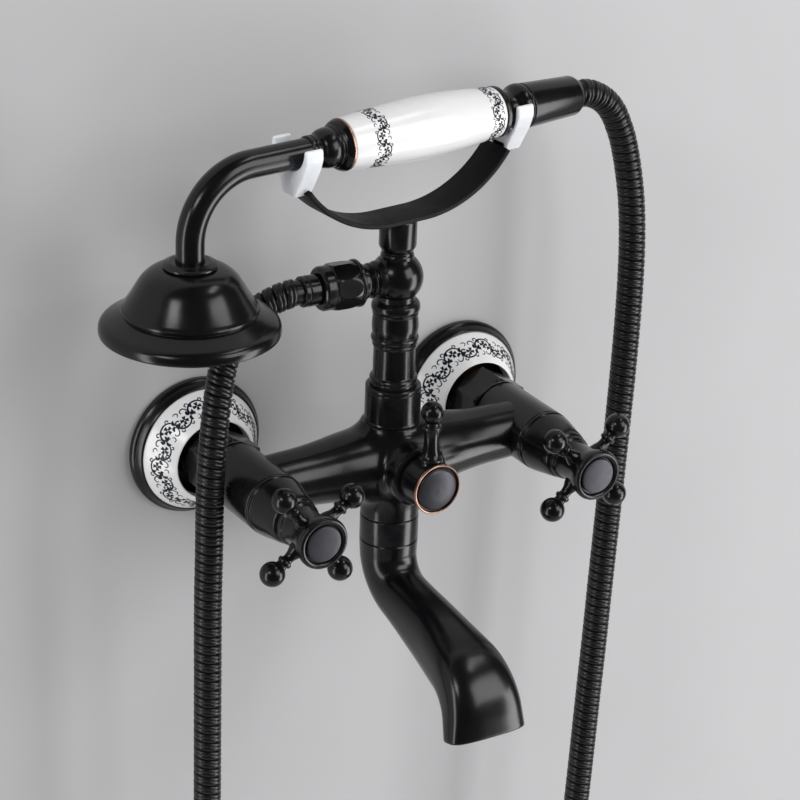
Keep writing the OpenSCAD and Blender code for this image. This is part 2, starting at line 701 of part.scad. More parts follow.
// Half of the strip's side view, from the middle to the tongue inside the liner
module strip_half() {
    low = [strip_flat, post_top_z + strip_bend_r];
    polygon(concat([[0, post_top_z]], arc(low, strip_bend_r, -90, strip_end_angle - 90),
        arc(low, strip_bend_r - strip_t, strip_end_angle - 90, -90), [[0, post_top_z + strip_t]]));
}

module cradle_bar() {
    color(black) in_cradle() difference() {
        union() {
            for (side = [0, 1]) mirror([side, 0, 0]) rotate([90, 0, 0])
                translate([0, 0, -strip_w / 2]) linear_extrude(strip_w) strip_half();
            translate([-left_liner_t - 3, -4, tongue_z]) cube([left_liner_t + 3 - strip_end_t + 4.4, 8, strip_t]);
            translate([strip_end_t - 4.4, -4, tongue_z]) cube([right_liner_t + 3 - strip_end_t + 4.4, 8, strip_t]);
        }
        bar(3.2, post_top_z - past, post_top_z + strip_t + past);
        translate([0, 0, post_top_z + 0.4]) cylinder(r1 = 3.2, r2 = 6.3, h = strip_t - 0.4 + 0.01);
    }
}

module cradle_screw() {
    color(black) in_cradle() {
        bar(2.9, post_top_z - 11, post_top_z + 1.5);
        translate([0, 0, post_top_z + 0.7]) cylinder(r1 = 3.1, r2 = 5.8, h = strip_t - 0.9);
    }
}

// A hook liner at distance t, whose seat is gap below a round of radius held_r
module hook_liner(t, held_r) {
    seat_z = handset_z - held_r - gap;
    trough_z = seat_z + liner_inner_r;
    top_z = handset_z + horn_h;
    foot_z = tongue_z - 1.2;
    color([0.9, 0.92, 0.94]) in_cradle() translate([t, 0, 0]) difference() {
        rotate([90, 0, 90]) translate([0, 0, -liner_w / 2]) linear_extrude(liner_w) difference() {
            polygon(concat([[5, foot_z]], arc([0, handset_z - 2], liner_outer_r, -40, 0, 8),
                [[liner_outer_r - 0.4, top_z - 0.8], [liner_outer_r - 1.2, top_z], [1.2 - liner_outer_r, top_z],
                [0.4 - liner_outer_r, top_z - 0.8]], arc([0, handset_z - 2], liner_outer_r, 180, 220, 8), [[-5, foot_z]]));
            translate([0, trough_z]) circle(r = liner_inner_r);
            translate([-liner_inner_r, trough_z]) square([2 * liner_inner_r, 30]);
        }
        translate([-liner_w, -4.05, tongue_z - 0.05]) cube([2 * liner_w, 8.1, strip_t + 0.1]);
        // Notch over the end of the strip
        translate([t > 0 ? strip_end_t + 0.1 - t - 9 : -strip_end_t - 0.1 - t, -strip_w / 2 - 0.1, foot_z - past])
            cube([9, strip_w + 0.2, tongue_z + strip_t + 0.1 - foot_z + past]);
    }
}

// --- Hose ----------------------------------------------------------------------------------------

module tee_hose_nut() {
    back = tee_r + 4.9;
    end = tee_nut_end;
    color(black) on_outlet() difference() {
        union() {
            turned([[0, back], [tee_nut_r - 0.3, back], [tee_nut_r, back + 0.5], [tee_nut_r, back + 1.3],
                [tee_nut_r - 0.7, back + 1.8], [0, back + 1.8]]);
            intersection() {
                hexagon(tee_nut_r + 0.5, back + 1, end);
                turned([[0, back], [tee_nut_r - 0.2, back], [tee_nut_r - 0.1, end - 7], [tee_nut_r - 0.9, end - 4],
                    [tee_nut_r - 1, end - 1.2], [tee_nut_r - 2.2, end], [0, end]]);
            }
        }
        bar(hose_thread_r, back - past, end - 3);
        bar(hose_r + 0.3, back, end + past);
    }
}

module tee_hose_washer() {
    color(rubber) on_outlet() difference() {
        bar(hose_thread_r - 0.4, tee_outlet_len, tee_outlet_len + 2);
        bar(water_r - 1, tee_outlet_len - past, tee_outlet_len + 2 + past);
    }
}

module tee_hose_ferrule() {
    face = tee_outlet_len + 2;
    end = tee_nut_end + ferrule_len;
    color(black) on_outlet() difference() {
        turned([[0, face], [hose_thread_r - 0.3, face], [hose_thread_r - 0.3, face + 2], [hose_r, face + 2.5],
            [hose_r, end - ferrule_len + 0.4], [hose_r + 0.6, end - ferrule_len + 1], [hose_r + 0.6, end - 0.8],
            [hose_r, end], [0, end]]);
        bar(4.5, face - past, end + past);
    }
}

// Unit vector along the route at point i
function heading(i) =
    let (last = len(HOSE_ROUTE) - 1, step = HOSE_ROUTE[min(i + 1, last)] - HOSE_ROUTE[max(i - 1, 0)])
    step / norm(step);

// One ring of the tube's skin at point i, kept upright by the Y axis that the route never follows
function hose_ring(i, sides) =
    let (along = heading(i), side = cross(along, [0, 1, 0]), u = side / norm(side), v = cross(u, along))
    [for (k = [0:sides - 1]) HOSE_ROUTE[i] + hose_r * (cos(k * 360 / sides) * u + sin(k * 360 / sides) * v)];

module hose() {
    sides = 10;
    rings = len(HOSE_ROUTE);
    skin = [for (i = [0:rings - 1]) each hose_ring(i, sides)];
    walls = [for (i = [0:rings - 2], k = [0:sides - 1])
        [i * sides + k, (i + 1) * sides + k, (i + 1) * sides + (k + 1) % sides, i * sides + (k + 1) % sides]];
    ends = [[for (k = [0:sides - 1]) k], [for (k = [sides - 1:-1:0]) (rings - 1) * sides + k]];
    color(black) polyhedron(skin, concat(walls, ends));
}

// --- Handset -------------------------------------------------------------------------------------

module on_head() {
    in_cradle() translate([head_t, 0, 0]) children();
}

module gooseneck() {
    color(black) {
        on_handset() difference() {
            bar(neck_r, -neck_bend_t, -neck_end);
            bar(neck_r - 1.6, -neck_bend_t - past, -neck_end + past);
        }
        in_cradle() translate([-neck_bend_t, 0, handset_z - neck_bend_r]) rotate([90, 0, 0])
            rotate([0, 0, 90]) rotate_extrude(angle = 90) translate([neck_bend_r, 0]) difference() {
                circle(r = neck_r);
                circle(r = neck_r - 1.6);
            }
        on_head() difference() {
            bar(neck_r, head_top_z - 2.6, handset_z - neck_bend_r);
            bar(neck_r - 1.6, head_top_z - 2.6 - past, handset_z - neck_bend_r + past);
        }
    }
}

module head_collar() {
    z = head_top_z;
    color(black) on_head() turned([[neck_r, z - 2.6], [neck_r + 5.5, z - 2.6], [neck_r + 5.9, z - 2.1],
        [neck_r + 5.9, z - 1.2], [neck_r + 5.4, z - 0.8], [neck_r + 3.6, z], [neck_r, z]]);
}

// Outline of the shower head from its top to its rim, drawn in by a wall thickness
function head_outline(wall) = let (z = head_top_z - 2.6, r = head_r - wall, w = wall) [
    [9, z - w], [r * 0.37, z - 0.6 - w], [r * 0.46, z - 2.4 - w], [r * 0.535, z - 5 - w], [r * 0.59, z - 7.6 - w],
    [r * 0.65, z - 11.6 - w], [r * 0.7, z - 15 - w * 0.6], [r * 0.735, z - 18 - w * 0.4], [r * 0.745, z - 20.4 - w * 0.4],
    [r * 0.79, z - 22 - w], [r * 0.87, z - 23.4 - w], [r * 0.94, z - 25.2 - w], [r * 0.985, z - 27.6 - w * 0.6],
    [r, head_rim_z + 2.6], [r, head_rim_z + 0.9], [r - 0.9 + wall * 0.5, head_rim_z]];

module head_shell() {
    inner = head_outline(head_wall);
    z = head_top_z - 2.6;
    color(black) on_head() turned(concat([[4.9, z]], head_outline(0),
        [for (i = [len(inner) - 1:-1:0]) inner[i]], [[4.9, z - head_wall]]));
}

module spray_plate() {
    color(black) on_head() difference() {
        bar(head_r - head_wall - 0.8, head_rim_z + 0.6, head_rim_z + 2.4);
        nozzle_places() bar(1.3, head_rim_z, head_rim_z + 3);
    }
}

// The rings of nozzles in the spray plate
module nozzle_places() {
    for (ring = [1:4], k = [0:ring * 8 - 1])
        rotate([0, 0, k * 45 / ring]) translate([ring * head_r * 0.205, 0, 0]) children();
}

module spray_nozzles() {
    color(rubber) on_head() nozzle_places() bar(1.25, head_rim_z - 0.4, head_rim_z + 2.4);
}

module front_ferrule() {
    f = -handle_front;
    color(black) on_handset() difference() {
        turned([[0, f - 19.2], [6.9, f - 19.2], [7.25, f - 18.6], [7.25, f - 16.6], [6.9, f - 15.9],
            [6.8, f - 13.8], [8.2, f - 12.8], [8.9, f - 11], [9.3, f - 8.6], [9.2, f - 6.4], [8.8, f - 5.9],
            [9.6, f - 5.3], [10.5, f - 4.4], [11.4, f - 2.4], [handle_end_r, f - 1], [handle_end_r, f], [0, f]]);
        bar(neck_r, f - 19.2 - past, -neck_end);
        bar(core_r, -neck_end - past, f + past);
    }
}

module handle_core() {
    color(brass) on_handset() difference() {
        bar(core_r, -neck_end, handle_back + 5);
        bar(core_r - 1.4, -neck_end - past, handle_back + 5 + past);
    }
}

module porcelain_handle() {
    f = -handle_front;
    len = handle_back + handle_front;
    rise = handle_r - handle_end_r;
    color(white) on_handset() turned([[core_r + 0.2, f], [handle_end_r, f], [handle_end_r + rise * 0.48, f + len * 0.22],
        [handle_end_r + rise * 0.92, f + len * 0.42], [handle_r, f + len * 0.52], [handle_end_r + rise * 0.96, f + len * 0.62],
        [handle_end_r + rise * 0.72, f + len * 0.74], [handle_end_r + rise * 0.28, f + len * 0.87],
        [handle_end_r - 0.2, f + len], [core_r + 0.2, f + len]]);
}

module rear_ferrule() {
    f = handle_back;
    color(black) on_handset() difference() {
        turned([[0, f], [handle_end_r - 0.2, f], [handle_end_r, f + 0.6], [handle_end_r, f + 2.2],
            [handle_end_r - 0.8, f + 3], [waist_r + 0.6, f + 3.6], [waist_r, f + 5.4], [waist_r, f + 9.4],
            [waist_r + 1, f + 10.8], [bulb_r - 0.8, f + 12.2], [bulb_r, f + 14], [bulb_r, f + 16],
            [bulb_r - 0.7, f + 16.6], [bulb_r - 0.2, f + 17.4], [hose_thread_r - fit, f + 17.4],
            [hose_thread_r - fit, f + 28], [0, f + 28]]);
        bar(core_r, f - past, f + 5);
        bar(core_r - 1.4, f, f + 28 + past);
    }
}

module handset_hose_washer() {
    face = handle_back + 28;
    color(rubber) on_handset() difference() {
        bar(hose_thread_r - 0.4, face, face + 2);
        bar(core_r - 1.4, face - past, face + 2 + past);
    }
}

module handset_hose_nut() {
    color(black) on_handset() difference() {
        turned([[0, nut_back], [hose_thread_r + 1.9, nut_back], [hose_thread_r + 2.1, nut_back + 0.6],
            [hose_thread_r + 0.9, nut_end - 4], [hose_r, nut_end], [0, nut_end]]);
        bar(hose_thread_r, nut_back - past, handle_back + 30);
        bar(4.5, handle_back + 30 - past, nut_end + past);
    }
}

// --- Spout ---------------------------------------------------------------------------------------

module spout_collar() {
    top_z = axis_z - body_bottom;
    color(black) on_riser() difference() {
        turned([[0, collar_bottom_z], [body_neck_r - 0.4, collar_bottom_z], [body_neck_r, collar_bottom_z + 0.6],
            [body_neck_r, top_z - 0.6], [body_neck_r - 0.4, top_z], [0, top_z]]);
        bar(water_r, collar_bottom_z, top_z + past);
        bar(body_neck_r - 3, collar_bottom_z - past, top_z - 3);
    }
}

// Centre line of the spout at distance s from its top, as [y, z, heading], where heading is the angle
// from straight down towards the front
function spout_at(s) =
    let (a1 = spout_bend_1 * spout_angle_1 * PI / 180, a2 = spout_bend_2 * spout_angle_2 * PI / 180,
        s1 = spout_drop, s2 = s1 + a1, s3 = s2 + spout_straight, s4 = s3 + a2,
        p2 = [-spout_bend_1 * (1 - cos(spout_angle_1)), -s1 - spout_bend_1 * sin(spout_angle_1)],
        run = [-sin(spout_angle_1), -cos(spout_angle_1)],
        p3 = p2 + spout_straight * run,
        bend_centre = p3 + spout_bend_2 * [cos(spout_angle_1), -sin(spout_angle_1)],
        end_angle = spout_angle_1 - spout_angle_2,
        p4 = bend_centre + spout_bend_2 * [-cos(end_angle), sin(end_angle)])
    s <= s1 ? [0, -s, 0] :
    s <= s2 ? let (a = (s - s1) / spout_bend_1 * 180 / PI)
        [-spout_bend_1 * (1 - cos(a)), -s1 - spout_bend_1 * sin(a), a] :
    s <= s3 ? [(p2 + (s - s2) * run)[0], (p2 + (s - s2) * run)[1], spout_angle_1] :
    s <= s4 ? let (a = spout_angle_1 - (s - s3) / spout_bend_2 * 180 / PI)
        [(bend_centre + spout_bend_2 * [-cos(a), sin(a)])[0], (bend_centre + spout_bend_2 * [-cos(a), sin(a)])[1], a] :
    [p4[0] - (s - s4) * sin(end_angle), p4[1] - (s - s4) * cos(end_angle), end_angle];

spout_len = spout_drop + spout_bend_1 * spout_angle_1 * PI / 180 + spout_straight
    + spout_bend_2 * spout_angle_2 * PI / 180 + spout_tip_len;

// Half width and half depth of the spout at the share f of its length
function spout_half(f) =
    f < 0.25 ? [body_neck_r - 6.4 * f, body_neck_r - 8 * f] :
    f < 0.5 ? [body_neck_r - 1.6 + 2.8 * (f - 0.25), body_neck_r - 2 + 12 * (f - 0.25)] :
    f < 0.75 ? [body_neck_r - 0.9 + (mouth_w - body_neck_r - 2.2) * 4 * (f - 0.5), body_neck_r + 1 - 6 * (f - 0.5)] :
    [mouth_w - 3.1 + 12.4 * (f - 0.75), body_neck_r - 0.5 - (body_neck_r - 0.5 - mouth_d) * 4 * (f - 0.75)];

// One ring of the spout's skin: an oval that turns from round at the top to squarish at the mouth
function spout_ring(s, inset, sides) =
    let (at = spout_at(s), f = min(1, s / spout_len), half = spout_half(f) - [inset, inset],
        power = 2 / (2 + 1.2 * f), n = [-cos(at[2]), sin(at[2])])
    [for (k = [0:sides - 1]) let (c = cos(k * 360 / sides), d = sin(k * 360 / sides),
        w = half[0] * sign(c) * pow(abs(c), power), e = half[1] * sign(d) * pow(abs(d), power))
        [w, at[0] + e * n[0], at[1] + e * n[1]]];

module spout_sweep(from, to, inset) {
    sides = 40;
    rings = 26;
    skin = [for (i = [0:rings]) each spout_ring(from + (to - from) * i / rings, inset, sides)];
    walls = [for (i = [0:rings - 1], k = [0:sides - 1])
        [i * sides + k, (i + 1) * sides + k, (i + 1) * sides + (k + 1) % sides, i * sides + (k + 1) % sides]];
    ends = [[for (k = [0:sides - 1]) k], [for (k = [sides - 1:-1:0]) rings * sides + k]];
    translate([0, -body_d, collar_bottom_z]) polyhedron(skin, concat(walls, ends));
}

module spout() {
    color(black) difference() {
        union() {
            spout_sweep(0, spout_len, 0);
            on_riser() bar(body_neck_r - 3.1, collar_bottom_z - 1, collar_bottom_z + spout_collar_h - 4);
        }
        spout_sweep(2, spout_len + past, spout_wall);
        on_riser() bar(body_neck_r - 5, collar_bottom_z - 4, collar_bottom_z + spout_collar_h);
    }
}

module spout_o_ring() {
    color(rubber) on_riser() difference() {
        bar(body_neck_r - 3.1, collar_bottom_z + spout_collar_h - 4, collar_bottom_z + spout_collar_h - 3);
        bar(body_neck_r - 6, collar_bottom_z, collar_bottom_z + spout_collar_h);
    }
}

module spout_strainer() {
    mouth = spout_at(spout_len - 7);
    color(rubber) translate([0, mouth[0] - body_d, mouth[1] + collar_bottom_z]) rotate([mouth[2], 0, 0]) difference() {
        linear_extrude(2, center = true) polygon([for (k = [0:31]) let (c = cos(k * 11.25), d = sin(k * 11.25))
            [(mouth_w - spout_wall - 1) * sign(c) * pow(abs(c), 0.65), (mouth_d - spout_wall + 0.2) * sign(d) * pow(abs(d), 0.65)]]);
        for (i = [-3:3], j = [-1:1]) translate([i * mouth_w / 4.6, j * mouth_d / 2.4, -2]) cylinder(r = 1.3, h = 4, $fn = 24);
    }
}

valve_body();
escutcheon(-1);  // left_escutcheon
escutcheon(1);  // right_escutcheon
porcelain_ring(-1);  // left_porcelain_ring
porcelain_ring(1);  // right_porcelain_ring
union_fitting(-1);  // left_union
union_fitting(1);  // right_union
union_nut(-1);  // left_union_nut
union_nut(1);  // right_union_nut
inlet_washer(-1);  // left_inlet_washer
inlet_washer(1);  // right_inlet_washer
cartridge(-1);  // left_cartridge
cartridge(1);  // right_cartridge
fixed_disc(-1);  // left_fixed_disc
fixed_disc(1);  // right_fixed_disc
moving_disc(-1);  // left_moving_disc
moving_disc(1);  // right_moving_disc
spindle(-1);  // left_spindle
spindle(1);  // right_spindle
bonnet(-1);  // left_bonnet
bonnet(1);  // right_bonnet
cross_handle(-1, left_spoke_angle);  // left_cross_handle
cross_handle(1, right_spoke_angle);  // right_cross_handle
handle_screw(-1);  // left_handle_screw
handle_screw(1);  // right_handle_screw
index_button(-1);  // left_index_button
index_button(1);  // right_index_button
diverter_cartridge();
diverter_rotor();
diverter_retainer();
diverter_lever();
diverter_cap();
riser_collar();
riser_column();
ball_tee();
cradle_post();
cradle_bar();
cradle_screw();
hook_liner(-left_liner_t, neck_r);  // left_hook_liner
hook_liner(right_liner_t, bulb_r);  // right_hook_liner
tee_hose_nut();
tee_hose_washer();
tee_hose_ferrule();
hose();
head_shell();
head_collar();
spray_plate();
spray_nozzles();
gooseneck();
front_ferrule();
handle_core();
porcelain_handle();
rear_ferrule();
handset_hose_washer();
handset_hose_nut();
spout_collar();
spout();
spout_o_ring();
spout_strainer();
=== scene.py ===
"""Dressed model of a wall mounted bath mixer with a telephone handset.

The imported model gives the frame: +Z is up, +X is to the right of somebody who stands before
the wall, and -Y comes out of the wall. Sizes are written in millimetres and meshes are in metres.
"""

import json
import logging
import math
from collections.abc import Callable
from dataclasses import dataclass
from enum import Enum

import bmesh
import bpy
import numpy as np
from mathutils import Matrix, Vector


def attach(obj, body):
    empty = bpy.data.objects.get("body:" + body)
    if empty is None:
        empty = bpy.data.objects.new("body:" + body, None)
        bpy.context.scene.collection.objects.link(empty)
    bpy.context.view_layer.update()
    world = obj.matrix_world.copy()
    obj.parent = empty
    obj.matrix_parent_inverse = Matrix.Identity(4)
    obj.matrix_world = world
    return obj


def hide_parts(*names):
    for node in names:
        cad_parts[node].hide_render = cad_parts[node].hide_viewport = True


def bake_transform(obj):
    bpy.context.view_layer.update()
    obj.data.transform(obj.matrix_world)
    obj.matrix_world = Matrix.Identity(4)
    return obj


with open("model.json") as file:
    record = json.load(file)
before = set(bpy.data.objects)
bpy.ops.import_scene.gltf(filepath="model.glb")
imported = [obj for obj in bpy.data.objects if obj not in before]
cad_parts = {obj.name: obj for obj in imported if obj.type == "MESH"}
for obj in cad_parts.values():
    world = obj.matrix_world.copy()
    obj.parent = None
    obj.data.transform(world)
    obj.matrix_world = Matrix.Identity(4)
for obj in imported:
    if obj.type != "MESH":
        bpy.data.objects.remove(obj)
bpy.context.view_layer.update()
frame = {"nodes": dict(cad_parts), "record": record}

LOG = logging.getLogger("bath_mixer")
MM = 0.001
SHARP_AT = 32.0

Point2 = tuple[float, float]
Point3 = tuple[float, float, float]
Colour = tuple[float, float, float]
Outline = list[Point2]
Socket = bpy.types.NodeSocket
Material = bpy.types.Material
Field = Callable[[np.ndarray], np.ndarray]


class Side(Enum):
    """The two inlets, as the sign of their X."""

    LEFT = -1
    RIGHT = 1

    @property
    def word(self) -> str:
        """The side's word in the names of nodes."""
        return self.name.lower()


class Body(Enum):
    """The bodies that move apart from each other."""

    FAUCET = "faucet"
    LEFT_HANDLE = "left_handle"
    RIGHT_HANDLE = "right_handle"
    DIVERTER = "diverter"
    HANDSET = "handset"


# --- Places ---------------------------------------------------------------------------------------


@dataclass(frozen=True)
class Layout:
    """Axes and heights that several sub-assemblies share, in millimetres, and turns in degrees."""

    inlet_x: float = 75.0
    axis_z: float = 1.6
    body_d: float = 60.0
    hub_back: float = 100.3
    hub_front: float = 126.0
    body_top_z: float = 21.0
    column_z: float = 40.0
    column_top_z: float = 83.0
    tee_z: float = 94.2
    neck_top_z: float = 107.4
    post_top_z: float = 123.3
    handset_z: float = 165.1
    cradle_turn: float = 5.0
    outlet_turn: float = 4.0
    head_t: float = -114.2
    head_top_z: float = 126.0
    head_rim_z: float = 92.0

    def outward(self, x: float, z: float) -> Matrix:
        """An upright piece laid straight out from the wall at x and z."""
        return Matrix.Translation((x, 0, z)) @ Matrix.Rotation(math.pi / 2, 4, "X")

    def valve(self, side: Side) -> Matrix:
        """The valve axis of one side."""
        return self.outward(side.value * self.inlet_x, self.axis_z)

    def riser(self) -> Matrix:
        """The upright axis over the body's middle."""
        return Matrix.Translation((0, -self.body_d, 0))

    def cradle(self) -> Matrix:
        """The cradle's frame: X along the handset, Z up."""
        return self.riser() @ Matrix.Rotation(math.radians(self.cradle_turn), 4, "Z")

    def handset(self) -> Matrix:
        """Lays out the handset's axis, from the shower head to the hose.

        Returns:
            The frame whose Z runs along the handset.
        """
        return (
            self.cradle()
            @ Matrix.Translation((0, 0, self.handset_z))
            @ Matrix.Rotation(math.pi / 2, 4, "Y")
        )

    def head(self) -> Matrix:
        """The shower head's upright axis."""
        return self.cradle() @ Matrix.Translation((self.head_t, 0, 0))

    def outlet(self) -> Matrix:
        """Lays out the tee's outlet, towards the hose.

        Returns:
            The frame whose Z runs along the outlet.
        """
        return (
            Matrix.Translation((0, -self.body_d, self.tee_z))
            @ Matrix.Rotation(-math.radians(self.outlet_turn), 4, "Z")
            @ Matrix.Rotation(-math.pi / 2, 4, "Y")
        )


PLAN = Layout()


# --- Outlines -------------------------------------------------------------------------------------


def flow(points: Outline, steps: int = 5) -> Outline:
    """Draws a smooth run through points.

    Args:
        points: at least two points, which the run passes through.
        steps: how many short straight lines stand for each stretch.

    Returns:
        The run as a longer list of points.
    """
    run: Outline = []
    last = len(points) - 1
    for i in range(last):
        before, start = points[max(i - 1, 0)], points[i]
        end, after = points[i + 1], points[min(i + 2, last)]
        for k in range(steps):
            t = k / steps
            run.append(
                tuple(
                    0.5 * (2 * b + (c - a) * t + (2 * a - 5 * b + 4 * c - d) * t**2
                           + (3 * b - a - 3 * c + d) * t**3)
                    for a, b, c, d in zip(before, start, end, after)
                )
            )
    return run + [points[-1]]


def distances(line: np.ndarray) -> np.ndarray:
    """How far along a line each of its points lies."""
    return np.concatenate([[0], np.cumsum(np.linalg.norm(np.diff(line, axis=0), axis=1))])


def eased(outline: Outline, radius: float, closed: bool = False) -> list[Point3]:
    """Rounds the corners of an outline, and marks the ones that a hand would rub.

    Args:
        outline: (radius, height) points, with the material on the left of the direction of travel.
        radius: the largest rounding.
        closed: whether the last point joins the first.

    Returns:
        (radius, height, wear) points.
    """
    corner_steps, least_turn, share = 4, math.radians(20), 0.45
    count = len(outline)
    out: list[Point3] = []
    for i, (r, h) in enumerate(outline):
        if not closed and i in (0, count - 1):
            out.append((r, h, 0.0))
            continue
        here = Vector((r, h))
        back = Vector(outline[i - 1]) - here
        on = Vector(outline[(i + 1) % count]) - here
        if back.length < 1e-6 or on.length < 1e-6:
            continue
        turn = math.pi - back.angle(on)
        if turn < least_turn:
            out.append((r, h, 0.0))
            continue
        reach = min(radius * math.tan(turn / 2), share * back.length, share * on.length)
        start, end = here + back.normalized() * reach, here + on.normalized() * reach
        rubbed = 1.0 if (-back).cross(on) > 0 else 0.0
        for k in range(corner_steps + 1):
            t = k / corner_steps
            p = start * (1 - t) ** 2 + here * 2 * t * (1 - t) + end * t**2
            out.append((p.x, p.y, rubbed * math.sin(math.pi * (0.15 + 0.7 * t))))
    return out


# --- Shapes ---------------------------------------------------------------------------------------


class Shape:
    """Collects closed shells in millimetres, each with its share of wear, into one mesh."""

    def __init__(self) -> None:
        """Starts with nothing."""
        self.points: list[Point3] = []
        self.faces: list[tuple[int, ...]] = []
        self.wear: list[float] = []

    def add(
        self,
        points: list[Point3],
        faces: list[tuple[int, ...]],
        wear: list[float] | None,
        place: Matrix,
    ) -> None:
        """Adds one shell.

        Args:
            points: its vertices, before they are placed.
            faces: tuples of indices into points.
            wear: one number for each vertex, or None for no wear.
            place: where the shell goes.
        """
        base = len(self.points)
        self.points += [tuple(place @ Vector(p)) for p in points]
        self.faces += [tuple(base + i for i in f) for f in faces]
        self.wear += wear if wear is not None else [0.0] * len(points)

    def turned(
        self,
        outline: Outline,
        place: Matrix,
        ease: float = 0.35,
        sides: int = 96,
        closed: bool = False,
        flats: tuple[int, float] | None = None,
    ) -> "Shape":
        """Adds a turned piece.

        Args:
            outline: (radius, height) from the low end to the high end, outside on the right.
            place: puts the upright piece on its axis.
            ease: how far its corners are rounded.
            sides: how many sides stand for a circle.
            closed: whether the outline is a ring's section, which does not reach the axis.
            flats: how many flats are milled round it, and their distance from the axis.

        Returns:
            The shape itself.
        """
        path = eased(outline, ease, closed)
        points, wear, rows = [], [], []
        for r, h, w in path:
            if r < 1e-5:
                rows.append([len(points)])
                points.append((0.0, 0.0, h))
                wear.append(w)
                continue
            rows.append(list(range(len(points), len(points) + sides)))
            for k in range(sides):
                a = 2 * math.pi * k / sides
                reach = r
                if flats:
                    sector = 2 * math.pi / flats[0]
                    off = (a + sector / 2) % sector - sector / 2
                    reach = min(r, flats[1] / math.cos(off))
                points.append((reach * math.cos(a), reach * math.sin(a), h))
                wear.append(w)
        faces = []
        pairs = list(zip(rows, rows[1:] + rows[:1]))
        for low, high in pairs if closed else pairs[:-1]:
            for k in range(sides):
                n = (k + 1) % sides
                if len(low) == 1 and len(high) == 1:
                    break
                if len(low) == 1:
                    faces.append((low[0], high[n], high[k]))
                elif len(high) == 1:
                    faces.append((low[k], low[n], high[0]))
                else:
                    faces.append((low[k], low[n], high[n], high[k]))
        self.add(points, faces, wear, place)
        return self

    def ball(self, radius: float, centre: Point3, place: Matrix) -> "Shape":
        """Adds a ball.

        Args:
            radius: the ball's radius.
            centre: its centre, before it is placed.
            place: where it goes.

        Returns:
            The shape itself.
        """
        steps = 24
        outline = [
            (radius * math.sin(math.pi * i / steps), -radius * math.cos(math.pi * i / steps))
            for i in range(steps + 1)
        ]
        outline[0], outline[-1] = (0.0, -radius), (0.0, radius)
        return self.turned(outline, place @ Matrix.Translation(centre), sides=48)

    def swept(
        self, rings: list[list[Point3]], place: Matrix, wear: list[float] | None = None
    ) -> "Shape":
        """Joins rings of equal length into a closed tube with flat ends.

        Args:
            rings: lists of points.
            place: where the tube goes.
            wear: one number for each ring.

        Returns:
            The shape itself.
        """
        n = len(rings[0])
        points = [p for ring in rings for p in ring]
        faces = [
            (i * n + k, (i + 1) * n + k, (i + 1) * n + (k + 1) % n, i * n + (k + 1) % n)
            for i in range(len(rings) - 1)
            for k in range(n)
        ]
        faces.append(tuple(range(n)))
        faces.append(tuple((len(rings) - 1) * n + k for k in reversed(range(n))))
        self.add(points, faces, [w for w in wear for _ in range(n)] if wear else None, place)
        return self

    def extruded(self, outline: Outline, depth: float, ease: float, place: Matrix) -> "Shape":
        """Pushes a flat outline out along Z, half the depth each way, with rounded edges.

        Args:
            outline: (x, y) points of a closed outline.
            depth: the whole depth.
            ease: how far its edges are rounded.
            place: where the shape goes.

        Returns:
            The shape itself.
        """
        p = np.array(outline)
        on = np.roll(p, -1, 0)
        if np.sum(p[:, 0] * on[:, 1] - on[:, 0] * p[:, 1]) < 0:
            p = p[::-1]
        after = np.roll(p, -1, 0) - p
        after /= np.linalg.norm(after, axis=1)[:, None]
        before = np.roll(after, 1, 0)
        out = np.stack([after[:, 1] + before[:, 1], -after[:, 0] - before[:, 0]], 1)
        out /= np.maximum(1 + (after * before).sum(1), 0.5)[:, None]
        turns = [math.pi / 2 * k / 4 for k in range(5)]
        levels = [(ease * (1 - math.sin(a)), ease * (1 - math.cos(a)) - depth / 2, math.sin(2 * a))
                  for a in turns]
        levels += [(inset, -h, w) for inset, h, w in levels[::-1]]
        rings = [[(x, y, h) for x, y in p - inset * out] for inset, h, _ in levels]
        return self.swept(rings, place, [w for _, _, w in levels])

    def mesh(self, name: str) -> bpy.types.Mesh:
        """Turns the shells into a mesh in metres, with faces outwards and smooth shading.

        Args:
            name: the mesh's name.

        Returns:
            The mesh.
        """
        mesh = bpy.data.meshes.new(name)
        mesh.from_pydata([tuple(MM * c for c in p) for p in self.points], [], self.faces)
        worn = mesh.attributes.new("wear", "FLOAT", "POINT")
        worn.data.foreach_set("value", self.wear)
        tidy_mesh(mesh)
        return mesh


def put_up(name: str, data: bpy.types.ID) -> bpy.types.Object:
    """Links a new object to the scene.

    Args:
        name: the object's name.
        data: its mesh, lamp or camera.

    Returns:
        The object.
    """
    obj = bpy.data.objects.new(name, data)
    bpy.context.scene.collection.objects.link(obj)
    return obj


def shade(mesh: bpy.types.Mesh, sharp_at: float = SHARP_AT) -> None:
    """Shades a mesh smooth, but for edges that turn by more than sharp_at degrees."""
    mesh.polygons.foreach_set("use_smooth", [True] * len(mesh.polygons))
    mesh.set_sharp_from_angle(angle=math.radians(sharp_at))


def tidy_mesh(mesh: bpy.types.Mesh) -> None:
    """Closes a mesh's hairline seams, turns its faces outwards and shades it.

    Args:
        mesh: the mesh, which is changed in place.
    """
    work = bmesh.new()
    work.from_mesh(mesh)
    bmesh.ops.remove_doubles(work, verts=work.verts, dist=2e-7)
    bmesh.ops.recalc_face_normals(work, faces=work.faces)
    work.to_mesh(mesh)
    work.free()
    shade(mesh)
    mesh.update()


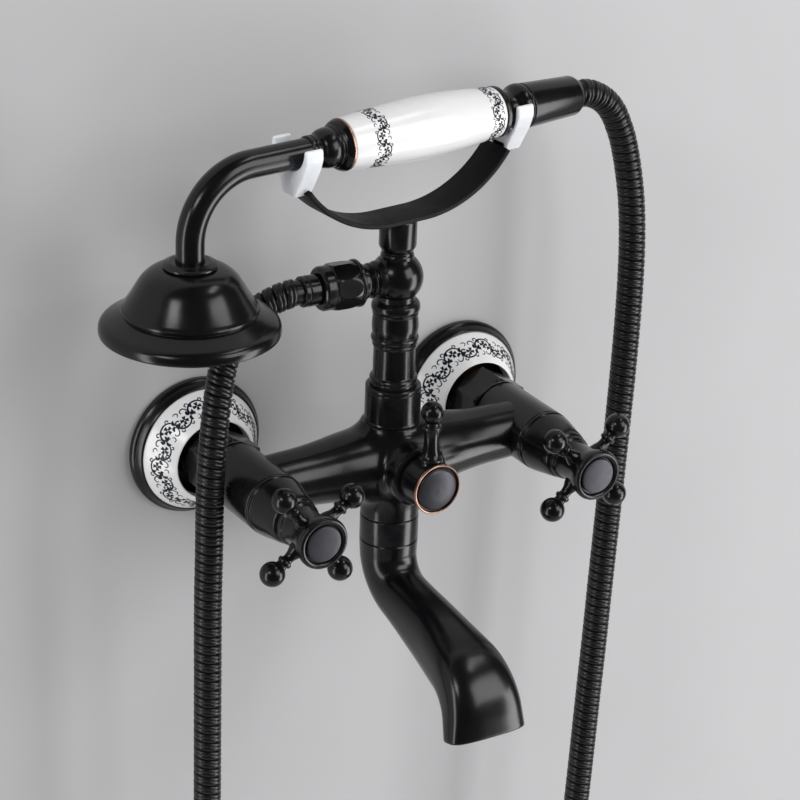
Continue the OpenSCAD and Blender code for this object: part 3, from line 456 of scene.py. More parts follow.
def repeat_round() -> bpy.types.NodeTree:
    """Builds the tree that repeats one sector round the axis of a ring.

    Returns:
        A tree whose inputs are the sector, the count and the finish.
    """
    tree = bpy.data.node_groups.new("repeat_round", "GeometryNodeTree")
    face = tree.interface
    face.new_socket("Geometry", in_out="OUTPUT", socket_type="NodeSocketGeometry")
    face.new_socket("Geometry", in_out="INPUT", socket_type="NodeSocketGeometry")
    face.new_socket("Count", in_out="INPUT", socket_type="NodeSocketInt").default_value = 8
    face.new_socket("Material", in_out="INPUT", socket_type="NodeSocketMaterial")
    add, link = tree.nodes.new, tree.links.new
    given, result = add("NodeGroupInput"), add("NodeGroupOutput")
    points = add("GeometryNodeMeshLine")
    points.mode = "OFFSET"
    points.inputs["Offset"].default_value = (0, 0, 0)
    link(given.outputs["Count"], points.inputs["Count"])
    index, full = add("GeometryNodeInputIndex"), add("ShaderNodeMath")
    full.operation = "DIVIDE"
    full.inputs[0].default_value = 2 * math.pi
    link(given.outputs["Count"], full.inputs[1])
    turn = add("ShaderNodeMath")
    turn.operation = "MULTIPLY"
    link(index.outputs[0], turn.inputs[0])
    link(full.outputs[0], turn.inputs[1])
    about = add("ShaderNodeCombineXYZ")
    link(turn.outputs[0], about.inputs["Z"])
    placed = add("GeometryNodeInstanceOnPoints")
    link(points.outputs["Mesh"], placed.inputs["Points"])
    link(given.outputs["Geometry"], placed.inputs["Instance"])
    link(about.outputs[0], placed.inputs["Rotation"])
    real, dressed = add("GeometryNodeRealizeInstances"), add("GeometryNodeSetMaterial")
    link(placed.outputs[0], real.inputs[0])
    link(real.outputs[0], dressed.inputs["Geometry"])
    link(given.outputs["Material"], dressed.inputs["Material"])
    link(dressed.outputs[0], result.inputs[0])
    return tree


class Rounds:
    """Repeats sectors round an axis with one shared tree of nodes."""

    def __init__(self) -> None:
        """Builds the tree."""
        self.tree = repeat_round()

    def repeat(
        self, sector: bpy.types.Mesh, count: int, place: Matrix, finish: Material
    ) -> bpy.types.Mesh:
        """Repeats a sector.

        Args:
            sector: one sector, in metres, round the Z axis.
            count: how many there are in a full turn.
            place: puts the Z axis on the piece's axis, in millimetres.
            finish: the finish of the result.

        Returns:
            The whole ring as a plain mesh in its place.
        """
        carrier = put_up("sector", sector)
        modifier = carrier.modifiers.new("repeat", "NODES")
        modifier.node_group = self.tree
        named = {s.name: s.identifier for s in self.tree.interface.items_tree if s.in_out == "INPUT"}
        modifier[named["Count"]] = count
        modifier[named["Material"]] = finish
        graph = bpy.context.evaluated_depsgraph_get()
        ready = carrier.evaluated_get(graph)
        mesh = bpy.data.meshes.new_from_object(ready, depsgraph=graph)
        carrier.modifiers.remove(modifier)
        bpy.data.objects.remove(carrier)
        mesh.transform(Matrix.Scale(MM, 4) @ place @ Matrix.Scale(1 / MM, 4))
        shade(mesh)
        return mesh


# --- Finishes -------------------------------------------------------------------------------------


class Surface:
    """Wires one procedural material round a Principled shader."""

    def __init__(self, name: str) -> None:
        """Starts a material with its shader and its object coordinates.

        Args:
            name: the material's name.
        """
        self.material = bpy.data.materials.new(name)
        self.material.use_nodes = True
        self.nodes = self.material.node_tree.nodes
        self.link = self.material.node_tree.links.new
        self.shader = self.nodes["Principled BSDF"]
        self.place = self.nodes.new("ShaderNodeTexCoord").outputs["Object"]

    def noise(self, size_mm: float, detail: float = 3.0) -> Socket:
        """Makes a noise on the object's own coordinates.

        Args:
            size_mm: how wide its features are.
            detail: how many finer layers it has.

        Returns:
            The noise, from 0 to 1.
        """
        node = self.nodes.new("ShaderNodeTexNoise")
        node.inputs["Scale"].default_value = 1 / (size_mm * MM)
        node.inputs["Detail"].default_value = detail
        self.link(self.place, node.inputs["Vector"])
        return node.outputs["Fac"]

    def spread(
        self, source: Socket, low: float, high: float, from_low: float = 0.3, from_high: float = 0.7
    ) -> Socket:
        """Maps a source from one range to another, and keeps it inside.

        Args:
            source: the value to map.
            low: what the range's low end becomes.
            high: what its high end becomes.
            from_low: the low end of the source's range.
            from_high: the high end of the source's range.

        Returns:
            The mapped value.
        """
        node = self.nodes.new("ShaderNodeMapRange")
        for socket, value in (("From Min", from_low), ("From Max", from_high), ("To Min", low),
                              ("To Max", high)):
            node.inputs[socket].default_value = value
        self.link(source, node.inputs["Value"])
        return node.outputs["Result"]

    def times(self, one: Socket, two: Socket) -> Socket:
        """Multiplies two values.

        Args:
            one: the first value.
            two: the second value.

        Returns:
            Their product.
        """
        node = self.nodes.new("ShaderNodeMath")
        node.operation = "MULTIPLY"
        self.link(one, node.inputs[0])
        self.link(two, node.inputs[1])
        return node.outputs[0]

    def mix(self, share: Socket, one: Colour | Socket, two: Colour | Socket) -> Socket:
        """Mixes two colours.

        Args:
            share: how much of the second colour there is.
            one: the first colour.
            two: the second colour.

        Returns:
            The mixed colour.
        """
        node = self.nodes.new("ShaderNodeMix")
        node.data_type = "RGBA"
        self.link(share, node.inputs["Factor"])
        for socket, colour in ((node.inputs[6], one), (node.inputs[7], two)):
            if isinstance(colour, tuple):
                socket.default_value = (*colour, 1.0)
            else:
                self.link(colour, socket)
        return node.outputs[2]

    def wear(self) -> Socket:
        """Reads the share of wear that the mesh carries on its rubbed corners.

        Returns:
            The share, from 0 to 1.
        """
        node = self.nodes.new("ShaderNodeAttribute")
        node.attribute_name = "wear"
        return node.outputs["Fac"]

    def bump(self, *layers: tuple[Socket, float]) -> None:
        """Raises the surface.

        Args:
            layers: each layer's height, from 0 to 1, and its depth in millimetres.
        """
        last = None
        for height, depth_mm in layers:
            node = self.nodes.new("ShaderNodeBump")
            node.inputs["Strength"].default_value = 1.0
            node.inputs["Distance"].default_value = depth_mm * MM
            self.link(height, node.inputs["Height"])
            if last:
                self.link(last, node.inputs["Normal"])
            last = node.outputs["Normal"]
        self.link(last, self.shader.inputs["Normal"])

    def fixed(self, **values: float | Point3) -> None:
        """Sets sockets of the shader that are the same all over, by name with _ for spaces."""
        for key, value in values.items():
            self.shader.inputs[key.replace("_", " ")].default_value = value

    def feed(self, socket: str, source: Socket) -> None:
        """Feeds a socket of the shader."""
        self.link(source, self.shader.inputs[socket])


@dataclass(frozen=True)
class Lacquer:
    """A dark lacquer over metal: nearly even, a little mottled, and rubbed on its corners."""

    name: str
    deep: Colour = (0.0026, 0.0027, 0.0034)
    thin: Colour = (0.0046, 0.0045, 0.0052)
    rubbed: Colour = (0.019, 0.018, 0.020)
    smooth: float = 0.19
    rough: float = 0.24
    sheen_coat: float = 0.1
    mottle_mm: float = 9.0
    skin_mm: float = 0.9
    skin_depth_mm: float = 0.002
    rub: float = 0.75
    rub_mm: float = 2.2
    gloss_mm: float = 7.0
    wave_mm: float = 14.0
    wave_depth_mm: float = 0.015
    specular: float = 0.34

    def build(self) -> Material:
        """Builds the material.

        Returns:
            The material.
        """
        s = Surface(self.name)
        mottle = s.spread(s.noise(self.mottle_mm, 4), 0, 1)
        patches = s.spread(s.noise(self.rub_mm, 4), 0.15 * self.rub, self.rub, 0.35, 0.65)
        rubbed = s.times(s.wear(), patches)
        s.feed("Base Color", s.mix(rubbed, s.mix(mottle, self.deep, self.thin), self.rubbed))
        s.feed("Roughness", s.spread(s.noise(self.gloss_mm, 4), self.smooth, self.rough))
        s.bump((s.noise(self.skin_mm, 2), self.skin_depth_mm),
               (s.noise(self.wave_mm, 1), self.wave_depth_mm))
        s.fixed(Specular_IOR_Level=self.specular, Coat_Weight=self.sheen_coat, Coat_Roughness=0.2)
        return s.material


@dataclass(frozen=True)
class Metal:
    """A bare or satin metal with fine mottling."""

    name: str
    base: Colour
    tint: Colour
    smooth: float
    rough: float
    grain_mm: float = 1.2
    metallic: float = 1.0
    patch_mm: float = 4.0
    grain_depth_mm: float = 0.004

    def build(self) -> Material:
        """Builds the material.

        Returns:
            The material.
        """
        s = Surface(self.name)
        s.feed("Base Color", s.mix(s.spread(s.noise(self.patch_mm, 5), 0, 1), self.base, self.tint))
        s.feed("Roughness", s.spread(s.noise(self.grain_mm, 4), self.smooth, self.rough))
        s.bump((s.noise(self.grain_mm, 3), self.grain_depth_mm))
        s.fixed(Metallic=self.metallic)
        return s.material


@dataclass(frozen=True)
class Glaze:
    """Glazed white porcelain: a clear gloss over a body with faint cloudiness and pinholes."""

    name: str
    white: Colour = (0.80, 0.80, 0.795)
    cloudy: Colour = (0.745, 0.75, 0.755)
    smooth: float = 0.19
    rough: float = 0.25
    cloud_mm: float = 16.0
    gloss_mm: float = 5.0
    wave_mm: float = 7.0
    wave_depth_mm: float = 0.02
    pinhole_mm: float = 0.8
    pinhole_depth_mm: float = 0.0012

    def build(self) -> Material:
        """Builds the material.

        Returns:
            The material.
        """
        s = Surface(self.name)
        clouds = s.spread(s.noise(self.cloud_mm, 3), 0, 1, 0.4, 0.75)
        s.feed("Base Color", s.mix(clouds, self.white, self.cloudy))
        s.feed("Roughness", s.spread(s.noise(self.gloss_mm, 3), self.smooth, self.rough))
        s.bump((s.noise(self.wave_mm, 1), self.wave_depth_mm),
               (s.noise(self.pinhole_mm, 1), self.pinhole_depth_mm))
        s.fixed(Coat_Weight=0.2, Coat_Roughness=0.12, Subsurface_Weight=0.05, Subsurface_Scale=0.002)
        return s.material


@dataclass(frozen=True)
class Ink:
    """The printed scrollwork under the glaze: navy that runs to black where it is thick."""

    name: str
    dark: Colour = (0.006, 0.007, 0.014)
    blue: Colour = (0.013, 0.017, 0.036)
    smooth: float = 0.22
    rough: float = 0.34
    cloud_mm: float = 2.6
    gloss_mm: float = 1.5

    def build(self) -> Material:
        """Builds the material.

        Returns:
            The material.
        """
        s = Surface(self.name)
        clouds = s.spread(s.noise(self.cloud_mm, 3), 0, 1, 0.42, 0.66)
        s.feed("Base Color", s.mix(clouds, self.dark, self.blue))
        s.feed("Roughness", s.spread(s.noise(self.gloss_mm, 2), self.smooth, self.rough))
        s.fixed(Specular_IOR_Level=0.2)
        return s.material


@dataclass(frozen=True)
class Moulding:
    """Moulded rubber or plastic, which may be milky enough for light to go into it."""

    name: str
    base: Colour
    tint: Colour
    smooth: float = 0.45
    rough: float = 0.6
    milky: float = 0.0
    patch_mm: float = 5.0
    gloss_mm: float = 1.6
    grain_mm: float = 0.6
    grain_depth_mm: float = 0.003
    wave_mm: float = 6.0
    wave_depth_mm: float = 0.05

    def build(self) -> Material:
        """Builds the material.

        Returns:
            The material.
        """
        s = Surface(self.name)
        s.feed("Base Color", s.mix(s.spread(s.noise(self.patch_mm, 4), 0, 1), self.base, self.tint))
        s.feed("Roughness", s.spread(s.noise(self.gloss_mm, 3), self.smooth, self.rough))
        s.bump((s.noise(self.grain_mm, 2), self.grain_depth_mm),
               (s.noise(self.wave_mm, 1), self.wave_depth_mm))
        s.fixed(Subsurface_Weight=self.milky, Subsurface_Scale=0.003,
                Subsurface_Radius=(1.0, 1.0, 1.0), IOR=1.46)
        return s.material


class Finishes:
    """The finishes of the object, by the record's material slot."""

    def __init__(self) -> None:
        """Builds each finish once."""
        kinds = {
            "black_finish": Lacquer("black_finish"),
            "spout_black": Lacquer("spout_black", smooth=0.21, rough=0.26, sheen_coat=0.15,
                                   skin_depth_mm=0.001, rub=0.3),
            "hose_metal": Lacquer("hose_metal", deep=(0.004, 0.004, 0.005), smooth=0.26, rough=0.36,
                                  skin_depth_mm=0.003, rub=0.5, rubbed=(0.020, 0.019, 0.021)),
            "satin_cap": Metal("satin_cap", (0.046, 0.045, 0.055), (0.036, 0.034, 0.041), 0.34, 0.42,
                               metallic=0.55),
            "copper_edge": Metal("copper_edge", (0.52, 0.31, 0.23), (0.36, 0.20, 0.15), 0.24, 0.38),
            "brass_works": Metal("brass_works", (0.28, 0.19, 0.09), (0.20, 0.13, 0.06), 0.38, 0.52),
            "ceramic_disc": Moulding("ceramic_disc", (0.78, 0.76, 0.70), (0.7, 0.68, 0.62), 0.2, 0.3),
            "porcelain": Glaze("porcelain"),
            "rubber_seal": Moulding("rubber_seal", (0.012, 0.012, 0.013), (0.022, 0.022, 0.023)),
            "grey_plastic": Moulding("grey_plastic", (0.16, 0.16, 0.165), (0.12, 0.12, 0.125)),
            "liner_plastic": Moulding("liner_plastic", (0.77, 0.79, 0.82), (0.71, 0.73, 0.77), 0.26,
                                      0.38, milky=0.8),
        }
        self.by_slot = {slot: kind.build() for slot, kind in kinds.items()}
        self.ink = Ink("scroll_ink").build()
        self.dull = Lacquer("dull_black", smooth=0.42, rough=0.52, sheen_coat=0.0, specular=0.12).build()

    def __getitem__(self, slot: str) -> Material:
        """The finish of a slot."""
        return self.by_slot[slot]


class Workshop:
    """Makes objects from shapes, and attaches them to their bodies."""

    def __init__(self) -> None:
        """Builds the finishes and reads which slot each node has."""
        self.finishes = Finishes()
        self.rounds = Rounds()
        rows = frame["record"]["subparts"]
        self.slots = {row["node"]: row["material_slot"] for row in rows}

    def dress_nodes(self) -> None:
        """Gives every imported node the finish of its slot."""
        for node, obj in frame["nodes"].items():
            obj.data.materials.clear()
            obj.data.materials.append(self.finishes[self.slots[node]])

    def piece(
        self,
        name: str,
        mesh: bpy.types.Mesh,
        body: Body,
        slot: str,
        node: str | None = None,
        finish: Material | None = None,
    ) -> bpy.types.Object:
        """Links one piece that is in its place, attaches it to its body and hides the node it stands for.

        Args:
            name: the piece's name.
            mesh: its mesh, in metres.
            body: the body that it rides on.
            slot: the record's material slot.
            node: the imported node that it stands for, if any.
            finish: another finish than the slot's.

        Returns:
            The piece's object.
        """
        obj = put_up(name, mesh)
        mesh.materials.clear()
        mesh.materials.append(finish or self.finishes[slot])
        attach(obj, body.value)
        if node:
            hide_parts(node)
        LOG.info("%s: %d faces on %s", name, len(mesh.polygons), body.value)
        return obj

    def stand_in(
        self, node: str, shape: Shape, body: Body, finish: Material | None = None
    ) -> bpy.types.Object:
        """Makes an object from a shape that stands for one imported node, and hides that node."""
        name = node + "_dressed"
        return self.piece(name, shape.mesh(name), body, self.slots[node], node, finish)


# --- Camera, light and backdrop -------------------------------------------------------------------


@dataclass(frozen=True)
class Softbox:
    """A lamp that faces the object's middle."""

    name: str
    place: Point3
    size: Point2
    power: float


@dataclass
class Studio:
    """The camera, the lamps, the wall and the floor."""

    camera_place: Point3 = (-0.6756, -1.1339, 0.6020)
    yaw: float = 32.33
    pitch: float = 24.23
    roll: float = 1.87
    lens: float = 131.9
    sensor: float = 36.0
    target: Point3 = (0.0, -0.06, 0.04)
    ambient: float = 0.46
    dark_room: float = 0.05
    far_backdrop: float = 0.62
    daylight: Colour = (1.0, 0.995, 1.0)
    pale: Colour = (0.48, 0.475, 0.483)
    mottle: float = 0.965
    half_width: float = 3.0
    depth: float = 1.8
    floor_z: float = -1.3
    wall_top: float = 2.4
    wall_y: float = 0.0006
    lamps: tuple[Softbox, ...] = (
        Softbox("front_high", (0.78, -1.42, 0.74), (0.95, 1.0), 12),
        Softbox("right_low", (1.28, -1.20, -0.42), (0.70, 1.6), 21),
        Softbox("side_left", (-1.9, -0.25, -0.15), (0.40, 2.1), 15),
        Softbox("top_left", (-1.58, -0.86, 1.25), (0.6, 0.5), 6.5),
        Softbox("overhead", (0.85, -0.6, 1.8), (0.8, 0.3), 3.5),
    )

    def camera(self) -> None:
        """Stands the camera at the viewing angle."""
        yaw, pitch, roll = (math.radians(a) for a in (self.yaw, self.pitch, self.roll))
        ahead = Vector((math.sin(yaw) * math.cos(pitch), math.cos(yaw) * math.cos(pitch),
                        -math.sin(pitch)))
        level = Vector((math.cos(yaw), -math.sin(yaw), 0))
        upright = level.cross(ahead)
        right = level * math.cos(roll) + upright * math.sin(roll)
        up = upright * math.cos(roll) - level * math.sin(roll)
        data = bpy.data.cameras.new("camera")
        data.lens, data.sensor_width = self.lens, self.sensor
        data.clip_start, data.clip_end = 0.05, 20
        eye = put_up("camera", data)
        turn = Matrix((right, up, -ahead)).transposed().to_4x4()
        eye.matrix_world = Matrix.Translation(self.camera_place) @ turn
        bpy.context.scene.camera = eye

    def light(self) -> None:
        """Hangs the lamps and sets the world."""
        for box in self.lamps:
            data = bpy.data.lights.new(box.name, "AREA")
            data.shape = "RECTANGLE"
            data.size, data.size_y = box.size
            data.energy = box.power
            lamp = put_up(box.name, data)
            lamp.location = box.place
            aim = Vector(self.target) - Vector(box.place)
            lamp.rotation_euler = aim.to_track_quat("-Z", "Y").to_euler()
        world = bpy.data.worlds.new("studio")
        bpy.context.scene.world = world
        world.use_nodes = True
        nodes, link = world.node_tree.nodes, world.node_tree.links.new
        path, value = nodes.new("ShaderNodeLightPath"), None
        for seen, strength in (("Is Glossy Ray", self.dark_room), ("Is Camera Ray", self.far_backdrop)):
            mix = nodes.new("ShaderNodeMix")
            mix.data_type = "FLOAT"
            link(path.outputs[seen], mix.inputs["Factor"])
            mix.inputs["A"].default_value, mix.inputs["B"].default_value = self.ambient, strength
            if value:
                link(value, mix.inputs["A"])
            value = mix.outputs["Result"]
        link(value, nodes["Background"].inputs["Strength"])
        nodes["Background"].inputs["Color"].default_value = (*self.daylight, 1.0)

    def sheet(self, name: str, corners: list[Point3], finish: Material) -> None:
        """Puts up one flat sheet of the backdrop.

        Args:
            name: the sheet's name.
            corners: its corners, anticlockwise on the side that shows.
            finish: its finish.
        """
        mesh = bpy.data.meshes.new(name)
        mesh.from_pydata(corners, [], [tuple(range(len(corners)))])
        mesh.materials.append(finish)
        put_up(name, mesh)

    def backdrop(self) -> None:
        """Puts the wall behind the object and the floor under it, both open from their backs."""
        plaster = Surface("plaster")
        plaster.feed("Base Color", plaster.mix(plaster.spread(plaster.noise(120, 5), 0, 1), self.pale,
                                               tuple(c * self.mottle for c in self.pale)))
        plaster.fixed(Roughness=0.85, Specular_IOR_Level=0.2)
        wall = plaster.material
        nodes, link = wall.node_tree.nodes, wall.node_tree.links.new
        seen_through, mix = nodes.new("ShaderNodeBsdfTransparent"), nodes.new("ShaderNodeMixShader")
        back = nodes.new("ShaderNodeNewGeometry")
        link(back.outputs["Backfacing"], mix.inputs[0])
        link(nodes["Principled BSDF"].outputs[0], mix.inputs[1])
        link(seen_through.outputs[0], mix.inputs[2])
        link(mix.outputs[0], nodes["Material Output"].inputs["Surface"])
        x, y, low, high = self.half_width, self.wall_y, self.floor_z, self.wall_top
        self.sheet("wall", [(-x, y, low), (x, y, low), (x, y, high), (-x, y, high)], wall)
        self.sheet("floor", [(-x, -self.depth, low), (x, -self.depth, low), (x, x, low),
                             (-x, x, low)], wall)

    def build(self) -> None:
        """Sets up the whole studio."""
        bpy.context.scene.view_settings.view_transform = "Standard"
        self.camera()
        self.light()
        self.backdrop()


# --- Hose -----------------------------------------------------------------------------------------


@dataclass
class Hose:
    """The interlocked metal hose, from the tee round to the handset."""

    shop: Workshop
    length: float = 1.5
    radius: float = 6.7
    pitch: float = 4.8
    sides: int = 28
    core: float = 5.7
    spacing: float = 0.5
    stub: int = 25
    rubbed_depth: float = 0.1
    sharp_at: float = 75.0
    section: tuple[Point2, ...] = (
        (0.00, -1.20), (0.06, -0.55), (0.14, -0.10), (0.30, 0.0), (0.42, -0.12), (0.47, -0.34),
        (0.52, -0.12), (0.68, 0.0), (0.86, -0.14), (0.94, -0.60),
    )
    route: tuple[Point3, ...] = (
        (-49.98, -56.51, 94.20), (-51.67, -56.39, 94.20), (-56.9, -55.8, 93.7),
        (-63.1, -54.5, 91.6), (-69, -53, 88.3), (-74.4, -51.9, 83.9), (-79.2, -51.5, 78.8),
        (-83.2, -51.7, 73.1), (-86.4, -52.4, 66.6), (-89.3, -53.9, 58.5), (-92, -55.5, 48),
        (-94.6, -57.3, 34), (-96.8, -58.8, 17), (-98, -59.6, 0), (-98.5, -60, -25),
        (-99, -60, -55), (-99, -60, -90), (-99, -60, -125), (-99, -60, -160), (-99, -60, -195),
        (-99, -60, -230), (-99, -60, -265), (-99, -60, -300), (-98.5, -60, -335),
        (-97.5, -60, -370), (-95, -59.5, -405), (-91, -59, -439), (-84, -59, -470),
        (-72.5, -58.5, -498), (-56, -58, -521), (-35, -57.5, -538), (-11, -57, -547),
        (14, -56.5, -548), (38, -56, -541), (60, -55.5, -526), (78, -55, -507),
        (92.5, -54.5, -483), (104, -54, -456), (112, -53.5, -427), (117.5, -53, -396),
        (121, -52.5, -363), (123.5, -52, -330), (125.5, -52, -297), (127.3, -52, -265),
        (129, -52, -235), (130.7, -52, -203), (132.3, -52, -170), (134, -52, -138),
        (135.5, -52, -105), (137.1, -52, -72), (138.7, -52, -40), (140.2, -52, -8),
        (141.4, -52, 22), (142, -52, 50), (142, -51.8, 72), (141.3, -51.5, 90),
        (140, -51.1, 105), (138, -50.7, 117.5), (135.6, -50.3, 129), (132.9, -50, 138.6),
        (129.6, -49.8, 146.6), (127.3, -49.7, 151.3), (123, -49.7, 157), (117.4, -49.9, 161.4),
        (110.9, -50.3, 164.4), (105.50, -50.77, 165.10), (103.80, -50.92, 165.10),
    )

    def centreline(self) -> np.ndarray:
        """Smooths the route.

        Returns:
            The route as evenly spaced points, in millimetres.
        """
        coarse = np.array(flow(list(self.route), 12))
        along = distances(coarse)
        at = np.linspace(0, along[-1], int(along[-1] / self.spacing) + 1)
        return np.column_stack([np.interp(at, along, coarse[:, k]) for k in range(3)])

    def square_to(self, line: np.ndarray) -> tuple[np.ndarray, np.ndarray]:
        """Finds two directions square to the hose at each point.

        Args:
            line: the centreline.

        Returns:
            The direction across the hose and the one over it.
        """
        heads = np.gradient(line, axis=0)
        heads /= np.linalg.norm(heads, axis=1)[:, None]
        across = np.cross(heads, [0.0, 1.0, 0.0])
        across /= np.linalg.norm(across, axis=1)[:, None]
        return across, np.cross(across, heads)

    def wind(self, shape: Shape, line: np.ndarray) -> None:
        """Winds the strip along the centreline, in whole turns that end at the nuts.

        Args:
            shape: takes the wound strip.
            line: the centreline.
        """
        across, over = self.square_to(line)
        along = distances(line)
        a_turn, n = len(self.section), self.sides
        turns = round(along[-1] / self.pitch) - 1
        pitch = along[-1] / (turns + 1)
        rows = turns * a_turn + 1
        angle = 2 * np.pi * np.arange(n) / n
        share, depth = np.array(self.section).T
        row = np.arange(rows)[:, None]
        at = (row // a_turn + share[row % a_turn] + angle[None] / (2 * np.pi)) * pitch
        at = np.clip(at, 0, along[-1])
        reach = self.radius + np.broadcast_to(depth[row % a_turn], at.shape)

        def sample(data: np.ndarray) -> np.ndarray:
            """The data at each vertex of the strip."""
            return np.stack([np.interp(at, along, data[:, k]) for k in range(3)], -1)

        points = sample(line) + reach[..., None] * (
            np.cos(angle)[None, :, None] * sample(across) + np.sin(angle)[None, :, None] * sample(over)
        )
        faces = []
        for i in range(rows - 1):
            low, high = i * n, (i + 1) * n
            faces += [(low + k, low + k + 1, high + k + 1, high + k) for k in range(n - 1)]
            if i + 1 + a_turn < rows:
                on = a_turn * n
                faces.append((low + n - 1, low + on, high + on, high + n - 1))
        top = (rows - 1) * n
        start_rim = list(range(n)) + [r * n for r in range(a_turn, 0, -1)]
        end_rim = [top + k for k in range(n)] + [top - r * n + n - 1 for r in range(1, a_turn + 1)]
        faces += [tuple(reversed(start_rim)), tuple(end_rim)]
        rubbed = np.clip(1 + depth / self.rubbed_depth, 0, 1)
        worn = np.broadcast_to(rubbed[row % a_turn], at.shape)
        shape.add(points.reshape(-1, 3).tolist(), faces, worn.reshape(-1).tolist(),
                  Matrix.Identity(4))

    def plug(self, shape: Shape, line: np.ndarray) -> None:
        """Shows the dark inner tube between the strip's ends and the nuts.

        Args:
            shape: takes the two stubs of tube.
            line: the centreline.
        """
        across, over = self.square_to(line)
        angle = 2 * np.pi * np.arange(self.sides)[:, None] / self.sides
        for spots in (range(0, self.stub, 4), range(len(line) - self.stub, len(line), 4)):
            shape.swept([(line[i] + self.core * (np.cos(angle) * across[i] + np.sin(angle) * over[i]))
                         .tolist() for i in spots], Matrix.Identity(4))

    def build(self) -> None:
        """Makes the hose, hides the imported one and logs its face count and length."""
        line, shape, name = self.centreline(), Shape(), "hose_dressed"
        self.wind(shape, line)
        self.plug(shape, line)
        mesh = shape.mesh(name)
        shade(mesh, self.sharp_at)
        hose = put_up(name, mesh)
        mesh.materials.append(self.shop.finishes["hose_metal"])
        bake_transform(hose)
        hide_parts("hose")
        path = [tuple(MM * c for c in p) for p in line[::6].tolist() + [line[-1].tolist()]]
        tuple(path[0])
        LOG.info("hose: %d faces, %.3f m", len(mesh.polygons), distances(line)[-1] * MM)


# --- Printed scrollwork ---------------------------------------------------------------------------


LEAF_BOW = 0.22


@dataclass(frozen=True)
class Stroke:
    """One stroke of the scrollwork: a scroll that ends in a bead, or a leaf that ends in points."""

    run: tuple[Point2, ...]
    width: float
    leaf: bool = False

    def ribbon(self) -> list[tuple[float, float, float, float]]:
        """Gives the stroke its changing width.

        Returns:
            (u, v, side u, side v) stations, where the sides reach the stroke's edges.
        """
        line = np.array(flow(list(self.run), 6 if len(self.run) > 2 else 8))
        ahead = np.gradient(line, axis=0)
        ahead /= np.linalg.norm(ahead, axis=1)[:, None]
        t = np.linspace(0, 1, len(line))
        if self.leaf:
            half = self.width / 2 * np.sin(np.pi * (0.04 + 0.92 * t) ** 0.85)
        else:
            half = self.width / 2 * (0.35 + 0.65 * np.sin(np.pi * t) ** 0.7)
            bead = 0.5 * self.width * np.sqrt(np.clip(1 - ((t - 0.93) / 0.07) ** 2, 0, 1))
            half = np.maximum(half, bead) * np.where(t == 1, 0.3, 1.0)
        return [(u, v, -h * dv, h * du) for (u, v), (du, dv), h in zip(line, ahead, half)]


def spray(centre: Point2, reach: float, width: float, turns: tuple[float, ...]) -> list[Stroke]:
    """Fans leaves out from one point.

    Args:
        centre: the point.
        reach: how long the leaves are.
        width: how wide they are.
        turns: the angle of each leaf, in degrees.

    Returns:
        One stroke for each leaf.
    """
    u, v = centre
    leaves = []
    for i, turn in enumerate(turns):
        a, bow = math.radians(turn), LEAF_BOW if i % 2 else -LEAF_BOW
        du, dv = reach * math.cos(a), reach * math.sin(a)
        leaves.append(Stroke(((u + 0.12 * du, v + 0.12 * dv),
                              (u + 0.55 * du - bow * dv, v + 0.55 * dv + bow * du),
                              (u + du, v + dv)), width, leaf=True))
    return leaves


